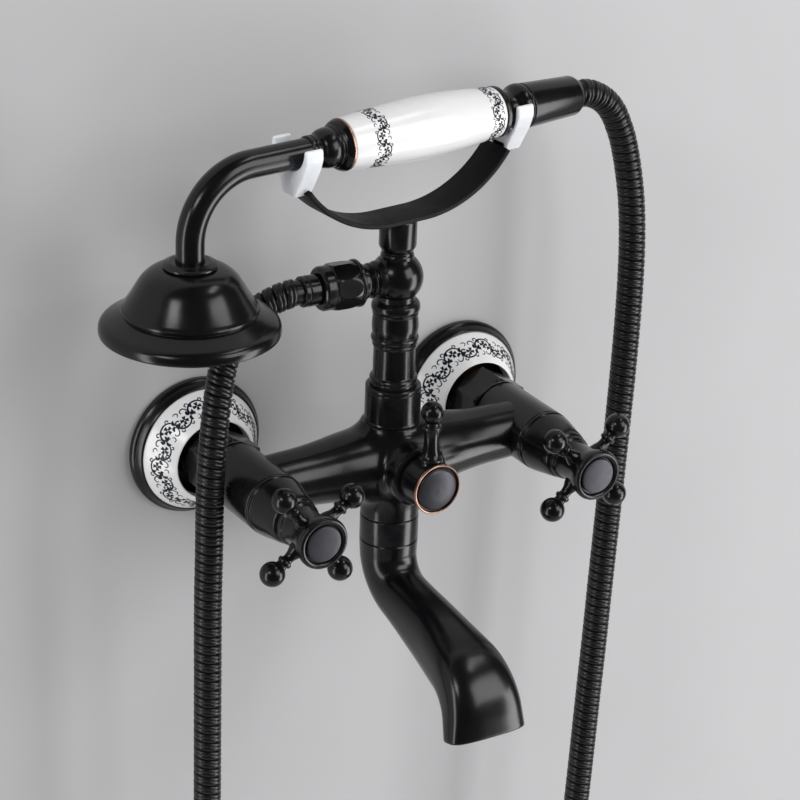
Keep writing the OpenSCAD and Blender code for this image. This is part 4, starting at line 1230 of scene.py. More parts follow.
@dataclass(frozen=True)
class Scroll:
    """One repeat of a traditional scroll border, 18 long and 11 across, in its own millimetres."""

    length: float = 18.0
    proud: float = 0.05
    root: float = -0.12
    layer: float = 0.0012
    probe: float = 0.05
    strokes: tuple[Stroke, ...] = (
        Stroke(((-0.6, -0.4), (0.4, 2.4), (3.0, 4.4), (6.4, 4.2), (8.6, 2.0), (8.4, -0.4), (6.9, -1.0),
                (6.3, -0.1)), 0.86),
        Stroke(((8.6, 0.6), (9.2, -2.2), (11.6, -4.4), (15.2, -4.3), (17.5, -2.2), (17.4, 0.2),
                (15.9, 0.9), (15.2, 0.1)), 0.86),
        Stroke(((0.2, -0.2), (0.2, -2.6), (1.7, -4.1), (3.3, -3.5), (3.1, -2.3)), 0.62),
        Stroke(((9.2, 0.4), (9.4, 2.7), (10.9, 4.2), (12.5, 3.6), (12.3, 2.4)), 0.62),
        Stroke(((2.2, 4.0), (1.6, 5.2), (0.6, 4.9), (0.8, 4.0)), 0.58),
        Stroke(((6.6, 4.0), (7.6, 5.3), (8.8, 4.6), (8.3, 3.7)), 0.58),
        Stroke(((11.2, -4.1), (10.6, -5.3), (9.6, -4.8), (9.9, -3.9)), 0.58),
        Stroke(((15.8, -4.0), (16.8, -5.3), (17.9, -4.6), (17.4, -3.7)), 0.58),
        Stroke(((5.6, -2.2), (4.6, -3.3), (5.4, -4.4), (6.7, -4.2)), 0.52),
        Stroke(((14.6, 2.2), (13.8, 3.2), (14.5, 4.4), (15.8, 4.2)), 0.52),
        *spray((0.0, 0.6), 2.9, 1.50, (95, 160, 225, 285)),
        *spray((9.0, 0.0), 2.9, 1.50, (35, 100, 165, 250)),
        *spray((4.0, 1.3), 2.2, 1.25, (0, 45, 90, 135, 180, 225, 270, 315)),
        *spray((12.9, -1.5), 2.2, 1.25, (22, 67, 112, 157, 202, 247, 292, 337)),
        *spray((6.2, 2.4), 1.8, 0.9, (40, 100)),
        *spray((15.2, -2.2), 1.8, 0.9, (320, 260)),
    )

    def print_on(self, outline: Outline, middle: float, repeats: int) -> bpy.types.Mesh:
        """Makes one repeat of the border on a turned piece, as thin closed slabs of ink.

        Args:
            outline: the piece's (radius, height) outline, from its low end.
            middle: how far along the outline the border's middle lies.
            repeats: how many repeats go round the piece.

        Returns:
            The repeat, in metres, round the Z axis.
        """
        path = np.array(outline)
        along = distances(path)
        girth = 2 * math.pi * float(np.interp(middle, along, path[:, 0]))
        scale = girth / repeats / self.length

        def lay(u: float, v: float, lift: float) -> Point3:
            """Puts a point of the border on the piece, lifted off it.

            Args:
                u: how far along the border it is.
                v: how far across.
                lift: how far off the piece's surface.

            Returns:
                The point.
            """
            s, a = middle + v * scale, 2 * math.pi * u / self.length / repeats
            (r, h), (r2, h2) = (
                [float(np.interp(at, along, path[:, k])) for k in (0, 1)]
                for at in (s - self.probe, s + self.probe)
            )
            size = math.hypot(r2 - r, h2 - h)
            reach = (r + r2) / 2 + (h2 - h) / size * lift
            return (reach * math.cos(a), reach * math.sin(a), (h + h2) / 2 - (r2 - r) / size * lift)

        ink, foot = Shape(), self.root
        for i, stroke in enumerate(self.strokes):
            over = self.proud + self.layer * i
            ink.swept(
                [
                    [lay(u + su, v + sv, over), lay(u - su, v - sv, over),
                     lay(u - su, v - sv, foot), lay(u + su, v + sv, foot)]
                    for u, v, su, sv in stroke.ribbon()
                ],
                Matrix.Identity(4),
            )
        return ink.mesh("scroll_repeat")


# --- Sub-assemblies -------------------------------------------------------------------------------


@dataclass
class Inlet:
    """One inlet: the escutcheon, its porcelain ring with the printed border, and the union nut."""

    shop: Workshop
    side: Side
    porcelain: tuple[Point2, ...] = (
        (26.8, 6.3), (30.8, 6.3), (30.8, 7.7), (30.4, 8.5), (25.95, 14.9), (21.1, 21.5), (20.5, 22.15),
        (20.1, 22.2), (19.75, 21.8), (19.7, 21.0), (19.7, 16.0),
    )
    repeats: int = 9
    band: float = 8.0
    print_turn: float = 7.0

    def build(self) -> None:
        """Builds the three pieces and the print."""
        place, word = PLAN.outward(self.side.value * PLAN.inlet_x, 0), self.side.word
        plate = Shape().turned(
            [(10.6, 2.0), (28.2, 2.0), (31.2, 0.0), (34.7, 0.0), (34.7, 2.6), (34.2, 3.5), (33.3, 4.3),
             (32.1, 6.9), (31.5, 7.55), (30.9, 7.5), (30.85, 6.3), (13.5, 6.3), (13.5, 12.6),
             (10.6, 12.6)], place, 0.5, 160, closed=True)
        self.shop.stand_in(word + "_escutcheon", plate, Body.FAUCET)
        cone = Shape().turned(list(self.porcelain), place, 0.6, 160, closed=True)
        self.shop.stand_in(word + "_porcelain_ring", cone, Body.FAUCET)
        turned = place @ Matrix.Rotation(self.side.value * math.radians(self.print_turn), 4, "Z")
        repeat = Scroll().print_on(list(self.porcelain[3:6]), self.band, self.repeats)
        name = word + "_ring_print"
        mesh = self.shop.rounds.repeat(repeat, self.repeats, turned, self.shop.finishes.ink)
        mesh.name = name
        self.shop.piece(name, mesh, Body.FAUCET, "porcelain", finish=self.shop.finishes.ink)
        nut = Shape().turned(
            [(12.0, 22.4), (15.6, 22.4), (17.3, 23.6), (17.3, 39.0), (15.4, 40.4), (12.0, 40.4)],
            PLAN.valve(self.side), 0.5, closed=True, flats=(6, 15.0))
        self.shop.stand_in(word + "_union_nut", nut, Body.FAUCET)


def round_field(outline: Outline, across: np.ndarray, along: np.ndarray) -> np.ndarray:
    """Measures how far points lie outside a round bar with flat ends.

    Args:
        outline: the bar's (radius, height) outline.
        across: each point's distance from the bar's axis.
        along: each point's height on the axis.

    Returns:
        The distances, which are below zero inside.
    """
    table = np.array(flow(outline, 6))
    ends = np.maximum(table[0, 1] - along, along - table[-1, 1])
    return np.maximum(across - np.interp(along, table[:, 1], table[:, 0]), ends)


def gradient(field: Field, points: np.ndarray, reach: float = 0.05) -> np.ndarray:
    """The gradient of a field at each point, from its values within reach."""
    steps = np.eye(3) * reach
    return np.stack([field(points + s) - field(points - s) for s in steps], 1) / (2 * reach)


def net(
    field: Field, low: Point3, high: Point3, step: float, passes: int = 8
) -> tuple[np.ndarray, np.ndarray]:
    """Lays a closed net of quads where a field passes through zero.

    Args:
        field: takes points and returns one value for each, below zero inside.
        low: the low corner of the space to look in.
        high: its high corner.
        step: the size of a mesh of the net.
        passes: how often its points are drawn closer to the surface.

    Returns:
        The net's points and its quads.
    """
    axes = [np.arange(a, b, step) for a, b in zip(low, high)]
    grid = np.stack(np.meshgrid(*axes, indexing="ij"), -1)
    value = field(grid.reshape(-1, 3)).reshape(grid.shape[:3])
    full = [slice(None, -1), slice(1, None)]
    count = sum((value[a, b, c] < 0).astype(int) for a in full for b in full for c in full)
    cut = (count > 0) & (count < 8)
    index = np.full(cut.shape, -1)
    index[cut] = np.arange(cut.sum())
    points = grid[:-1, :-1, :-1][cut] + step / 2
    for _ in range(passes):
        slope = gradient(field, points)
        size = np.maximum((slope**2).sum(1), 0.05)
        points = points - slope * (field(points) / size)[:, None]
    quads = []
    for axis in range(3):
        order = (axis, (axis + 1) % 3, (axis + 2) % 3)
        v, cell = np.transpose(value, order), np.transpose(index, order)
        i, j, k = np.nonzero((v[:-1, 1:-1, 1:-1] < 0) != (v[1:, 1:-1, 1:-1] < 0))
        quad = np.stack([cell[i, j, k], cell[i, j + 1, k], cell[i, j + 1, k + 1], cell[i, j, k + 1]], 1)
        quads.append(np.where((v[i, j + 1, k + 1] < 0)[:, None], quad, quad[:, ::-1]))
    return points, np.concatenate(quads)


@dataclass
class Casting:
    """The valve body: arms, column and boss that flow into each other, and two crisp barrels."""

    shop: Workshop
    grid: float = 0.85
    fillet: float = 7.0
    sharp_at: float = 50.0
    on_net: float = 0.004
    arm: tuple[Point2, ...] = (
        (13.4, -75), (13.9, -60), (14.3, -48), (15.2, -38), (16.4, -29), (17.4, -20), (18.2, -10),
        (18.4, 0), (18.2, 10), (17.4, 20), (16.4, 29), (15.2, 38), (14.3, 48), (13.9, 60), (13.4, 75),
    )
    column: tuple[Point2, ...] = (
        (14.1, -29.6), (14.2, -27), (14.5, -23), (15.3, -18), (16.8, -11), (17.8, -4), (17.8, 3),
        (16.8, 9), (15.4, 14), (14.6, 17), (14.2, 19.4),
    )
    boss: tuple[Point2, ...] = ((15.0, 0), (15.0, 13), (14.95, 26.0))

    def field(self, points: np.ndarray) -> np.ndarray:
        """Joins the arms, the column and the boss with fillets.

        Args:
            points: places, in millimetres.

        Returns:
            About how far outside the casting each place lies.
        """
        x, y, z = (points - (0, -PLAN.body_d, PLAN.axis_z)).T
        parts = [
            round_field(list(self.arm), np.hypot(y, z), x),
            round_field(list(self.column), np.hypot(x, y), z),
            round_field(list(self.boss), np.hypot(x, z), -y),
        ]
        joined = parts[0]
        for part, k in zip(parts[1:], (self.fillet, self.fillet * 0.6)):
            h = np.clip(0.5 + 0.5 * (part - joined) / k, 0, 1)
            joined = part * (1 - h) + joined * h - k * h * (1 - h)
        return joined

    def build(self) -> None:
        """Nets the casting, adds its barrels and shades it from the field."""
        y = -PLAN.body_d
        points, quads = net(self.field, (-77, y - 32, -32), (77, y + 25, 27), self.grid)
        body = Shape()
        body.add(points.tolist(), quads.tolist(), None, Matrix.Identity(4))
        for side in Side:
            body.turned([(0, 35.5), (12.9, 35.5), (12.9, 37.5), (11.4, 37.9), (11.4, 41.0), (14.3, 41.0),
                         (15.0, 41.5), (15.2, 42.3), (15.2, 79.2), (14.9, 79.9), (0, 79.9)],
                        PLAN.valve(side), 0.5)
        body.turned([(0, 82.0), (14.9, 82.0), (15.03, 83.0), (15.03, 84.6), (14.6, 86.2), (13.6, 87.1),
                     (12.4, 87.4), (0, 87.4)], PLAN.outward(0, PLAN.axis_z), 0.4)
        name = "valve_body_dressed"
        mesh = body.mesh(name)
        shade(mesh, self.sharp_at)
        flat = np.empty(3 * len(mesh.vertices))
        mesh.vertices.foreach_get("co", flat)
        at = flat.reshape(-1, 3) / MM
        on_net = np.abs(self.field(at))[:, None] < self.on_net
        shaded = np.where(on_net, gradient(self.field, at), 0.0)
        mesh.normals_split_custom_set_from_vertices(shaded.tolist())
        self.shop.piece(name, mesh, Body.FAUCET, self.shop.slots["valve_body"], "valve_body")


@dataclass
class Handle:
    """The head work's bonnet and the cross handle with its index button."""

    shop: Workshop
    side: Side
    spoke_angle: float
    reach: float = 25.4
    ball: float = 5.9
    spoke_height: float = 14.4

    @property
    def body(self) -> Body:
        """The body that the handle is."""
        return Body.LEFT_HANDLE if self.side is Side.LEFT else Body.RIGHT_HANDLE

    def bonnet(self) -> None:
        """Builds the domed cover."""
        shape = Shape().turned(
            [(11.1, 75.2), (12.4, 75.2), (12.4, 80.0), (15.1, 80.0), (15.15, 81.1), (14.5, 81.7),
             (14.3, 82.0), (14.5, 82.4), (14.9, 83.1), (14.6, 85.0), (14.0, 88.0), (13.3, 91.2),
             (12.6, 95.0), (12.0, 98.0), (11.4, 99.3), (10.2, 100.0), (8.7, 100.0), (8.7, 80.6),
             (11.1, 80.6)], PLAN.valve(self.side), 0.45, closed=True)
        self.shop.stand_in(self.side.word + "_bonnet", shape, Body.FAUCET)

    def cross(self) -> None:
        """Builds the hub with its four spokes and balls."""
        place, b, f = PLAN.valve(self.side), PLAN.hub_back, PLAN.hub_front
        shape = Shape().turned(
            [(0, b), (9.8, b), (10.7, b + 0.5), (11.1, b + 1.6), (10.7, b + 2.8), (9.8, b + 3.9),
             (9.5, b + 5.5), (9.5, b + 9), (9.9, b + 12.5), (10.5, b + 16), (11.3, f - 7.2),
             (12.1, f - 4.9), (12.55, f - 3.1), (12.6, f - 1.7), (12.3, f - 0.8), (11.7, f - 0.2),
             (11.0, f), (10.3, f - 0.2), (9.8, f - 0.6), (9.5, f - 1.1), (9.4, f - 1.5), (0, f - 1.5)],
            place, 0.5)
        r = self.reach
        spoke = flow([(4.4, 6.0), (4.3, r - 16.4), (3.7, r - 14.2), (2.8, r - 12.2), (2.45, r - 10.2),
                      (2.6, r - 9.0)], 3)
        ring = [(3.4, r - 8.6), (3.6, r - 7.6), (3.3, r - 6.8), (2.6, r - 6.4), (2.9, r - 5.0), (0, r - 4)]
        for quarter in range(4):
            turn = math.radians(self.spoke_angle + 90 * quarter)
            arm = (place @ Matrix.Translation((0, 0, b + self.spoke_height))
                   @ Matrix.Rotation(turn, 4, "Z") @ Matrix.Rotation(math.pi / 2, 4, "Y"))
            shape.turned([(0, 6.0)] + spoke + ring, arm, 0.3, 40)
            shape.ball(self.ball, (0, 0, r), arm)
        self.shop.stand_in(self.side.word + "_cross_handle", shape, self.body)

    def button(self) -> None:
        """Builds the index button."""
        f = PLAN.hub_front
        shape = Shape().turned([(0, f - 1.6), (8.8, f - 1.6), (8.8, f - 0.5), (8.4, f - 0.15),
                                (6.0, f + 0.1), (0, f + 0.25)], PLAN.valve(self.side), 0.4)
        self.shop.stand_in(self.side.word + "_index_button", shape, self.body)

    def build(self) -> None:
        """Builds the three pieces."""
        self.bonnet()
        self.cross()
        self.button()


@dataclass
class Diverter:
    """The diverter's knob with its upright lever, the domed cap and the rim worn to copper."""

    shop: Workshop
    back: float = 87.7
    front: float = 102.1
    radius: float = 12.4
    lever_height: float = 7.2
    reach: float = 37.0
    ball: float = 5.3

    def build(self) -> None:
        """Builds the three pieces."""
        b, f, r, tip = self.back, self.front, self.radius, self.reach
        place = PLAN.outward(0, PLAN.axis_z)
        knob = Shape().turned(
            [(0, b), (11.5, b), (12.1, b + 0.6), (12.15, f - 2.2), (12.25, f - 1.5), (r, f - 1.1),
             (r, f - 0.4), (12.1, f), (11.7, f - 0.1), (11.5, f - 0.6), (11.4, f - 1.3), (0, f - 1.3)],
            place, 0.4)
        stalk = (place @ Matrix.Translation((0, 0, b + self.lever_height))
                 @ Matrix.Rotation(-math.pi / 2, 4, "X"))
        knob.turned([(0, 8), (5.4, 8), (5.4, tip - 24.6), (5.8, tip - 23.9), (5.8, tip - 23.1),
                     (5.3, tip - 22.5)]
                    + flow([(4.8, tip - 22.2), (4.2, tip - 21), (3.7, tip - 18.6), (3.45, tip - 15),
                            (3.6, tip - 11.4), (4.0, tip - 9)], 3)
                    + [(4.6, tip - 8.4), (4.75, tip - 7.6), (4.5, tip - 6.8), (3.6, tip - 6.3),
                       (3.4, tip - 5), (0, tip - 4)], stalk, 0.3, 56)
        knob.ball(self.ball, (0, 0, tip), stalk)
        self.shop.stand_in("diverter_lever", knob, Body.DIVERTER)
        cap = Shape().turned([(0, f - 1.4), (10.45, f - 1.4), (10.45, f - 0.5), (9.9, f + 0.1)]
                             + flow([(9.4, f + 0.4), (7.4, f + 0.95), (4.4, f + 1.4), (0, f + 1.6)], 4),
                             place, 0.3)
        self.shop.stand_in("diverter_cap", cap, Body.DIVERTER)
        name = "diverter_copper_rim"
        rim = Shape().turned([(11.45, f - 0.7), (12.2, f - 1.4), (12.44, f - 1.1), (12.44, f - 0.35),
                              (12.1, f + 0.05), (11.62, f - 0.05)], place, 0.2, closed=True)
        self.shop.piece(name, rim.mesh(name), Body.DIVERTER, "copper_edge")


@dataclass
class Riser:
    """The collar, the turned column, the ball tee and the post of the cradle."""

    shop: Workshop

    def build(self) -> None:
        """Builds the four pieces."""
        place, low, z, top = PLAN.riser(), PLAN.body_top_z, PLAN.column_z, PLAN.column_top_z
        collar = Shape().turned(
            [(9.6, low), (13.4, low), (13.7, low + 0.9), (13.4, low + 1.7), (13.3, z - 2.7),
             (12.8, z - 2.2), (13.3, z - 1.7), (13.2, z - 0.5), (12.6, z), (9.6, z)],
            place, 0.35, closed=True)
        self.shop.stand_in("riser_collar", collar, Body.FAUCET)
        column = Shape().turned(
            [(0, low), (9.4, low), (9.4, z), (11.3, z), (11.4, z + 1.8), (11.1, z + 2.2),
             (11.4, z + 2.6), (11.5, z + 3.6), (11.1, z + 4.3), (10.3, z + 4.6), (10.05, z + 5.2),
             (9.95, top - 23.4), (10.5, top - 23), (10.7, top - 22.2), (10.4, top - 21.5),
             (10.0, top - 21.2), (10.3, top - 20.7), (11.1, top - 20.3), (11.4, top - 19.2),
             (11.1, top - 18.2), (10.4, top - 17.9)]
            + flow([(10.6, top - 17.2), (11.0, top - 14.5), (11.05, top - 12), (10.8, top - 9),
                    (10.5, top - 7.2)], 3)
            + [(10.9, top - 6.9), (11.0, top - 6.3), (10.6, top - 5.9), (11.2, top - 5.3),
               (11.6, top - 4.2), (11.6, top - 2.8), (11.2, top - 1.5), (10.2, top - 0.4), (8.4, top),
               (0, top)], place, 0.4)
        self.shop.stand_in("riser_column", column, Body.FAUCET)
        out = PLAN.outlet()
        tee = Shape().ball(12.6, (0, 0, 0), out)
        tee.turned([(0, -14), (9.1, -14), (9.1, -8), (0, -8)], place @ Matrix.Translation(
            (0, 0, PLAN.tee_z)), 0.2)
        tee.turned([(0, 5), (7.9, 5), (7.9, 11.4), (7.5, 12.0), (7.4, 13.2), (0, 13.2)],
                   place @ Matrix.Translation((0, 0, PLAN.tee_z)), 0.3)
        tee.turned([(0, 5), (9.0, 5), (9.0, 10.6), (8.6, 11.8), (7.6, 12.4), (7.2, 12.9), (7.9, 13.2),
                    (8.4, 13.9), (8.2, 14.7), (7.3, 15.2), (7.0, 16.6), (7.2, 17.3), (8.5, 17.4),
                    (8.5, 31), (0, 31)], out, 0.35)
        self.shop.stand_in("ball_tee", tee, Body.FAUCET)
        n, p = PLAN.neck_top_z, PLAN.post_top_z
        post = Shape().turned(
            [(0, n - 4.6), (3.9, n - 4.6), (3.9, n), (7.3, n), (7.7, n + 0.7), (8.5, n + 2.0),
             (8.85, n + 3.2), (8.85, p - 0.6), (8.6, p), (0, p)], place, 0.4)
        self.shop.stand_in("cradle_post", post, Body.FAUCET)


@dataclass
class Cradle:
    """The bent strip with a tongue at each end, and the two translucent hooks on the tongues."""

    shop: Workshop
    width: float = 19.0
    thick: float = 2.4
    flat: float = 9.0
    bend: float = 60.0
    end_angle: float = 53.9
    tongue_share: float = 0.405
    liner_width: float = 9.0
    trough: float = 11.4
    seats: tuple[tuple[str, float, float], ...] = (
        ("left_hook_liner", -57.5, 6.8), ("right_hook_liner", 62.1, 11.4),
    )

    def strip(self) -> None:
        """Builds the strip."""
        z = PLAN.post_top_z
        angles = [math.radians(self.end_angle * i / 28) for i in range(29)]
        outer = [(self.flat + self.bend * math.sin(a), z + self.bend * (1 - math.cos(a)))
                 for a in angles]
        inner_r = self.bend - self.thick
        inner = [(self.flat + inner_r * math.sin(a), z + self.bend - inner_r * math.cos(a))
                 for a in angles]
        half = outer + inner[::-1]
        profile = half + [(-x, h) for x, h in half[::-1]]
        side = PLAN.cradle() @ Matrix.Rotation(math.pi / 2, 4, "X")
        shape = Shape().extruded(profile, self.width, 0.7, side)
        tongue_z = z + self.bend * self.tongue_share
        for low, high in ((-60.3, -56.8), (57.2, 64.9)):
            shape.extruded([(low, tongue_z), (high, tongue_z), (high, tongue_z + self.thick),
                            (low, tongue_z + self.thick)], 7.8, 0.4, side)
        self.shop.stand_in("cradle_bar", shape, Body.FAUCET, self.shop.finishes.dull)

    def hooks(self) -> None:
        """Builds the two hooks, each with a seat for the round that it holds."""
        foot = PLAN.post_top_z + self.bend * self.tongue_share - 1.0
        top, trough = PLAN.handset_z + 5.4, self.trough
        for node, t, held in self.seats:
            floor = PLAN.handset_z - held + trough
            right_in = [(trough * math.sin(a), floor - trough * math.cos(a))
                        for a in (math.pi / 2 * i / 10 for i in range(11))]
            right_out = flow([(4.6, foot), (6.4, foot + 3.2), (8.9, foot + 7.6), (11.6, foot + 12.4),
                              (13.4, foot + 17.0), (14.0, top - 4.5), (13.7, top - 1.0)], 4)
            horn = [(13.2, top - 0.1), (12.2, top)]
            right = right_out + horn + [(trough, top - 0.7)] + right_in[::-1]
            profile = right + [(-y, h) for y, h in right[-2::-1]]
            place = (PLAN.cradle() @ Matrix.Translation((t, 0, 0)) @ Matrix.Rotation(math.pi / 2, 4, "Z")
                     @ Matrix.Rotation(math.pi / 2, 4, "X"))
            hook = Shape().extruded(profile, self.liner_width, 0.55, place)
            self.shop.stand_in(node, hook, Body.FAUCET)

    def build(self) -> None:
        """Builds the strip and the hooks."""
        self.strip()
        self.hooks()


@dataclass
class HoseFittings:
    """The nut and the ferrule at the tee, and the long nut at the handset."""

    shop: Workshop
    nut_back: float = 20.3
    nut_end: float = 41.0
    ferrule_end: float = 50.0
    cone_back: float = 70.5
    cone_end: float = 104.0

    def build(self) -> None:
        """Builds the three pieces."""
        out, b, e = PLAN.outlet(), self.nut_back, self.nut_end
        nut = Shape().turned([(8.6, b), (10.9, b), (11.3, b + 0.5), (11.3, b + 1.4), (10.8, b + 1.9),
                              (8.6, b + 2.1)], out, 0.3, closed=True)
        nut.turned([(8.6, b + 1.6), (10.4, b + 1.7)]
                   + flow([(10.6, b + 2.2), (11.3, b + 5.5), (11.55, b + 9.5), (11.3, b + 13.5),
                           (10.7, e - 6.2)], 4)
                   + [(10.1, e - 5.7), (10.5, e - 5.2), (10.5, e - 1.6), (10.0, e - 0.6), (9.2, e),
                      (7.2, e), (7.2, e - 8), (8.6, e - 9)],
                   out @ Matrix.Rotation(math.radians(12), 4, "Z"), 0.3, 144, closed=True,
                   flats=(8, 10.55))
        self.shop.stand_in("tee_hose_nut", nut, Body.FAUCET)
        f = self.ferrule_end
        ferrule = Shape().turned(
            [(0, 33.2), (8.2, 33.2), (8.2, 35), (6.8, 35.4), (6.8, e + 0.6), (7.3, e + 1.0),
             (7.35, f - 3.2), (6.9, f - 2.8), (7.3, f - 2.4), (7.3, f - 0.5), (6.8, f), (0, f)], out, 0.3)
        self.shop.stand_in("tee_hose_ferrule", ferrule, Body.FAUCET)
        n, m = self.cone_back, self.cone_end
        cone = Shape().turned(
            [(8.6, n), (10.3, n), (10.75, n + 0.5), (10.7, n + 1.4), (9.55, m - 4.4), (9.3, m - 3.6),
             (7.3, m - 0.4), (6.9, m), (4.5, m), (4.5, n + 12), (8.6, n + 12)],
            PLAN.handset(), 0.45, closed=True)
        self.shop.stand_in("handset_hose_nut", cone, Body.HANDSET)


@dataclass
class Handset:
    """The telephone handset: the shower head, the bent neck and the porcelain handle."""

    shop: Workshop
    neck: float = 6.5
    bend_start: float = -83.0
    bend: float = 31.2
    neck_end: float = -49.6
    front: float = -33.5
    rear: float = 53.0
    head_r: float = 41.0
    porcelain: tuple[Point2, ...] = (
        (12.05, -32.9), (12.5, -27.5), (12.95, -21.0), (13.4, -14.0), (14.0, -5.0), (14.4, 3.0),
        (14.6, 11.5), (14.5, 20.0), (14.0, 30.0), (13.3, 38.0), (12.5, 46.0), (11.95, 52.4),
    )
    bands: tuple[tuple[str, float], ...] = (("front", 14.4), ("rear", 80.6))
    repeats: int = 6
    print_turn: float = 24.0
    nozzle_rings: int = 4
    ring_share: float = 0.205
    collar_height: float = 2.6
    tube_sides: int = 72

    def head(self) -> None:
        """Builds the shower head and the spray plate."""
        place, rim, r = PLAN.head(), PLAN.head_rim_z, self.head_r
        z = PLAN.head_top_z - self.collar_height
        dome = flow([(9.0, z), (13.5, z - 0.5), (18.0, z - 2.2), (21.6, z - 5.2), (24.0, z - 8.6),
                     (26.2, z - 12.4), (28.3, z - 15.8), (29.9, z - 18.2)], 3)
        lip = [(30.8, z - 19.1), (31.05, z - 19.9), (30.9, z - 20.6), (30.3, z - 21.0),
               (30.1, z - 21.3), (30.6, z - 21.6)]
        flare = flow([(31.4, z - 21.9), (33.4, z - 22.9), (36.0, z - 24.1), (38.6, z - 25.3),
                      (40.1, z - 26.5), (40.8, z - 27.9)], 3)
        brim = [(r, rim + 1.6), (40.8, rim + 0.5), (40.1, rim), (39.4, rim + 0.2), (39.1, rim + 1.0)]
        outer = [(5.0, z)] + dome + lip + flare + brim
        inner = [(38.9, rim + 3.2), (36.8, z - 25.0), (33.0, z - 23.6), (28.8, z - 21.2),
                 (25.8, z - 14.6), (22.0, z - 8.2), (17.0, z - 3.8), (5.0, z - 1.6)]
        shell = Shape().turned(outer + inner, place, 0.3, 160, closed=True)
        self.shop.stand_in("head_shell", shell, Body.HANDSET)
        plate = Shape().turned([(0, rim + 0.9), (35, rim + 0.7), (38.7, rim + 1.2), (38.7, rim + 2.3),
                                (0, rim + 2.3)], place, 0.3, 128)
        self.shop.stand_in("spray_plate", plate, Body.HANDSET)

    def nozzles(self) -> None:
        """Builds the rings of nozzles, one eighth of them repeated."""
        place, rim = PLAN.head(), PLAN.head_rim_z
        nozzles, pitch = Shape(), self.head_r * self.ring_share
        for ring in range(1, self.nozzle_rings + 1):
            for k in range(ring):
                a = math.radians(45 * k / ring)
                spot = Matrix.Translation((ring * pitch * math.cos(a), ring * pitch * math.sin(a), 0))
                nozzles.turned([(0.35, rim - 0.1), (0.45, rim - 0.35), (0.85, rim - 0.35),
                                (1.0, rim - 0.2), (1.28, rim + 0.9), (1.25, rim + 1.8),
                                (0.35, rim + 1.8)], spot, 0.1, 20, closed=True)
        mesh = self.shop.rounds.repeat(nozzles.mesh("nozzle_sector"), 8, place,
                                       self.shop.finishes["rubber_seal"])
        mesh.name = "spray_nozzles_dressed"
        self.shop.piece(mesh.name, mesh, Body.HANDSET, self.shop.slots["spray_nozzles"],
                        "spray_nozzles")

    def collar(self) -> None:
        """Builds the collar between the head and the neck."""
        top, n = PLAN.head_top_z, self.neck
        z = top - self.collar_height
        collar = Shape().turned([(n, z), (12.0, z), (12.45, z + 0.5), (12.4, z + 1.3), (11.6, z + 1.8),
                                 (10.0, z + 2.2), (9.3, top), (n, top)], PLAN.head(), 0.35,
                                closed=True)
        self.shop.stand_in("head_collar", collar, Body.HANDSET)

    def gooseneck(self) -> None:
        """Builds the bent tube."""
        b, z, steps = self.bend, PLAN.handset_z, 28
        path = [(self.neck_end, z, 90.0), (self.bend_start, z, 90.0)]
        for i in range(1, steps + 1):
            a = math.pi / 2 * i / steps
            path.append((self.bend_start - b * math.sin(a), z - b * (1 - math.cos(a)),
                         90 - math.degrees(a)))
        path.append((PLAN.head_t, PLAN.head_top_z - self.collar_height, 0.0))
        angles = [2 * math.pi * k / self.tube_sides for k in range(self.tube_sides)]
        rings = []
        for x, h, lean in path:
            c, s = math.cos(math.radians(lean)), math.sin(math.radians(lean))
            rings.append([(x - self.neck * math.cos(t) * c, self.neck * math.sin(t),
                           h + self.neck * math.cos(t) * s) for t in angles])
        tube = Shape().swept(rings, PLAN.cradle())
        self.shop.stand_in("gooseneck", tube, Body.HANDSET)

    def handle(self) -> None:
        """Builds the porcelain handle."""
        f, e = self.front, self.rear
        outline = flow(list(self.porcelain), 4)
        shape = Shape().turned([(6.0, f), (11.6, f)] + outline + [(11.5, e), (6.0, e)],
                               PLAN.handset(), 0.35, 128, closed=True)
        self.shop.stand_in("porcelain_handle", shape, Body.HANDSET)

    def ferrules(self) -> None:
        """Builds the ferrule at each end of the handle, and the front one's copper edge."""
        place, f, e = PLAN.handset(), self.front, self.rear
        ferrule = Shape().turned(
            [(6.5, -52.7), (6.9, -52.7), (7.3, -52.2), (7.3, -50.9), (6.95, -50.4), (7.3, -49.9),
             (7.3, -49.2), (6.85, -48.7)]
            + flow([(6.8, -48.0), (7.3, -46.9), (8.4, -45.6), (9.1, -43.6), (9.35, -41.6),
                    (9.2, -40.2)], 3)
            + [(8.7, -39.8), (9.1, -39.3), (9.7, -38.9), (9.8, -38.4), (9.5, -38.0)]
            + flow([(9.9, -37.6), (10.8, -37.0), (11.5, -36.0), (11.95, -34.9)], 3)
            + [(12.1, -34.5), (12.1, f), (6.5, f)], place, 0.3, closed=True)
        self.shop.stand_in("front_ferrule", ferrule, Body.HANDSET)
        edge = Shape().turned([(11.6, -34.2), (12.1, -34.6), (12.18, -34.3), (12.18, f - 0.02),
                               (11.6, f - 0.02)], place, 0.15, closed=True)
        name = "ferrule_copper_edge"
        self.shop.piece(name, edge.mesh(name), Body.HANDSET, "copper_edge")
        rear = Shape().turned(
            [(0, e), (11.8, e), (12.1, e + 0.5), (12.1, e + 2.2), (11.7, e + 2.8), (10.6, e + 3.1)]
            + flow([(9.2, e + 3.6), (8.4, e + 5.2), (8.3, e + 7.6), (8.6, e + 9.6), (9.6, e + 11.2),
                    (10.6, e + 12.6), (11.05, e + 14.2), (11.1, e + 15.8)], 3)
            + [(10.9, e + 16.4), (10.4, e + 16.6), (10.5, e + 17.0), (10.5, e + 17.4), (8.5, e + 17.4),
               (8.5, e + 28), (0, e + 28)], place, 0.35)
        self.shop.stand_in("rear_ferrule", rear, Body.HANDSET)

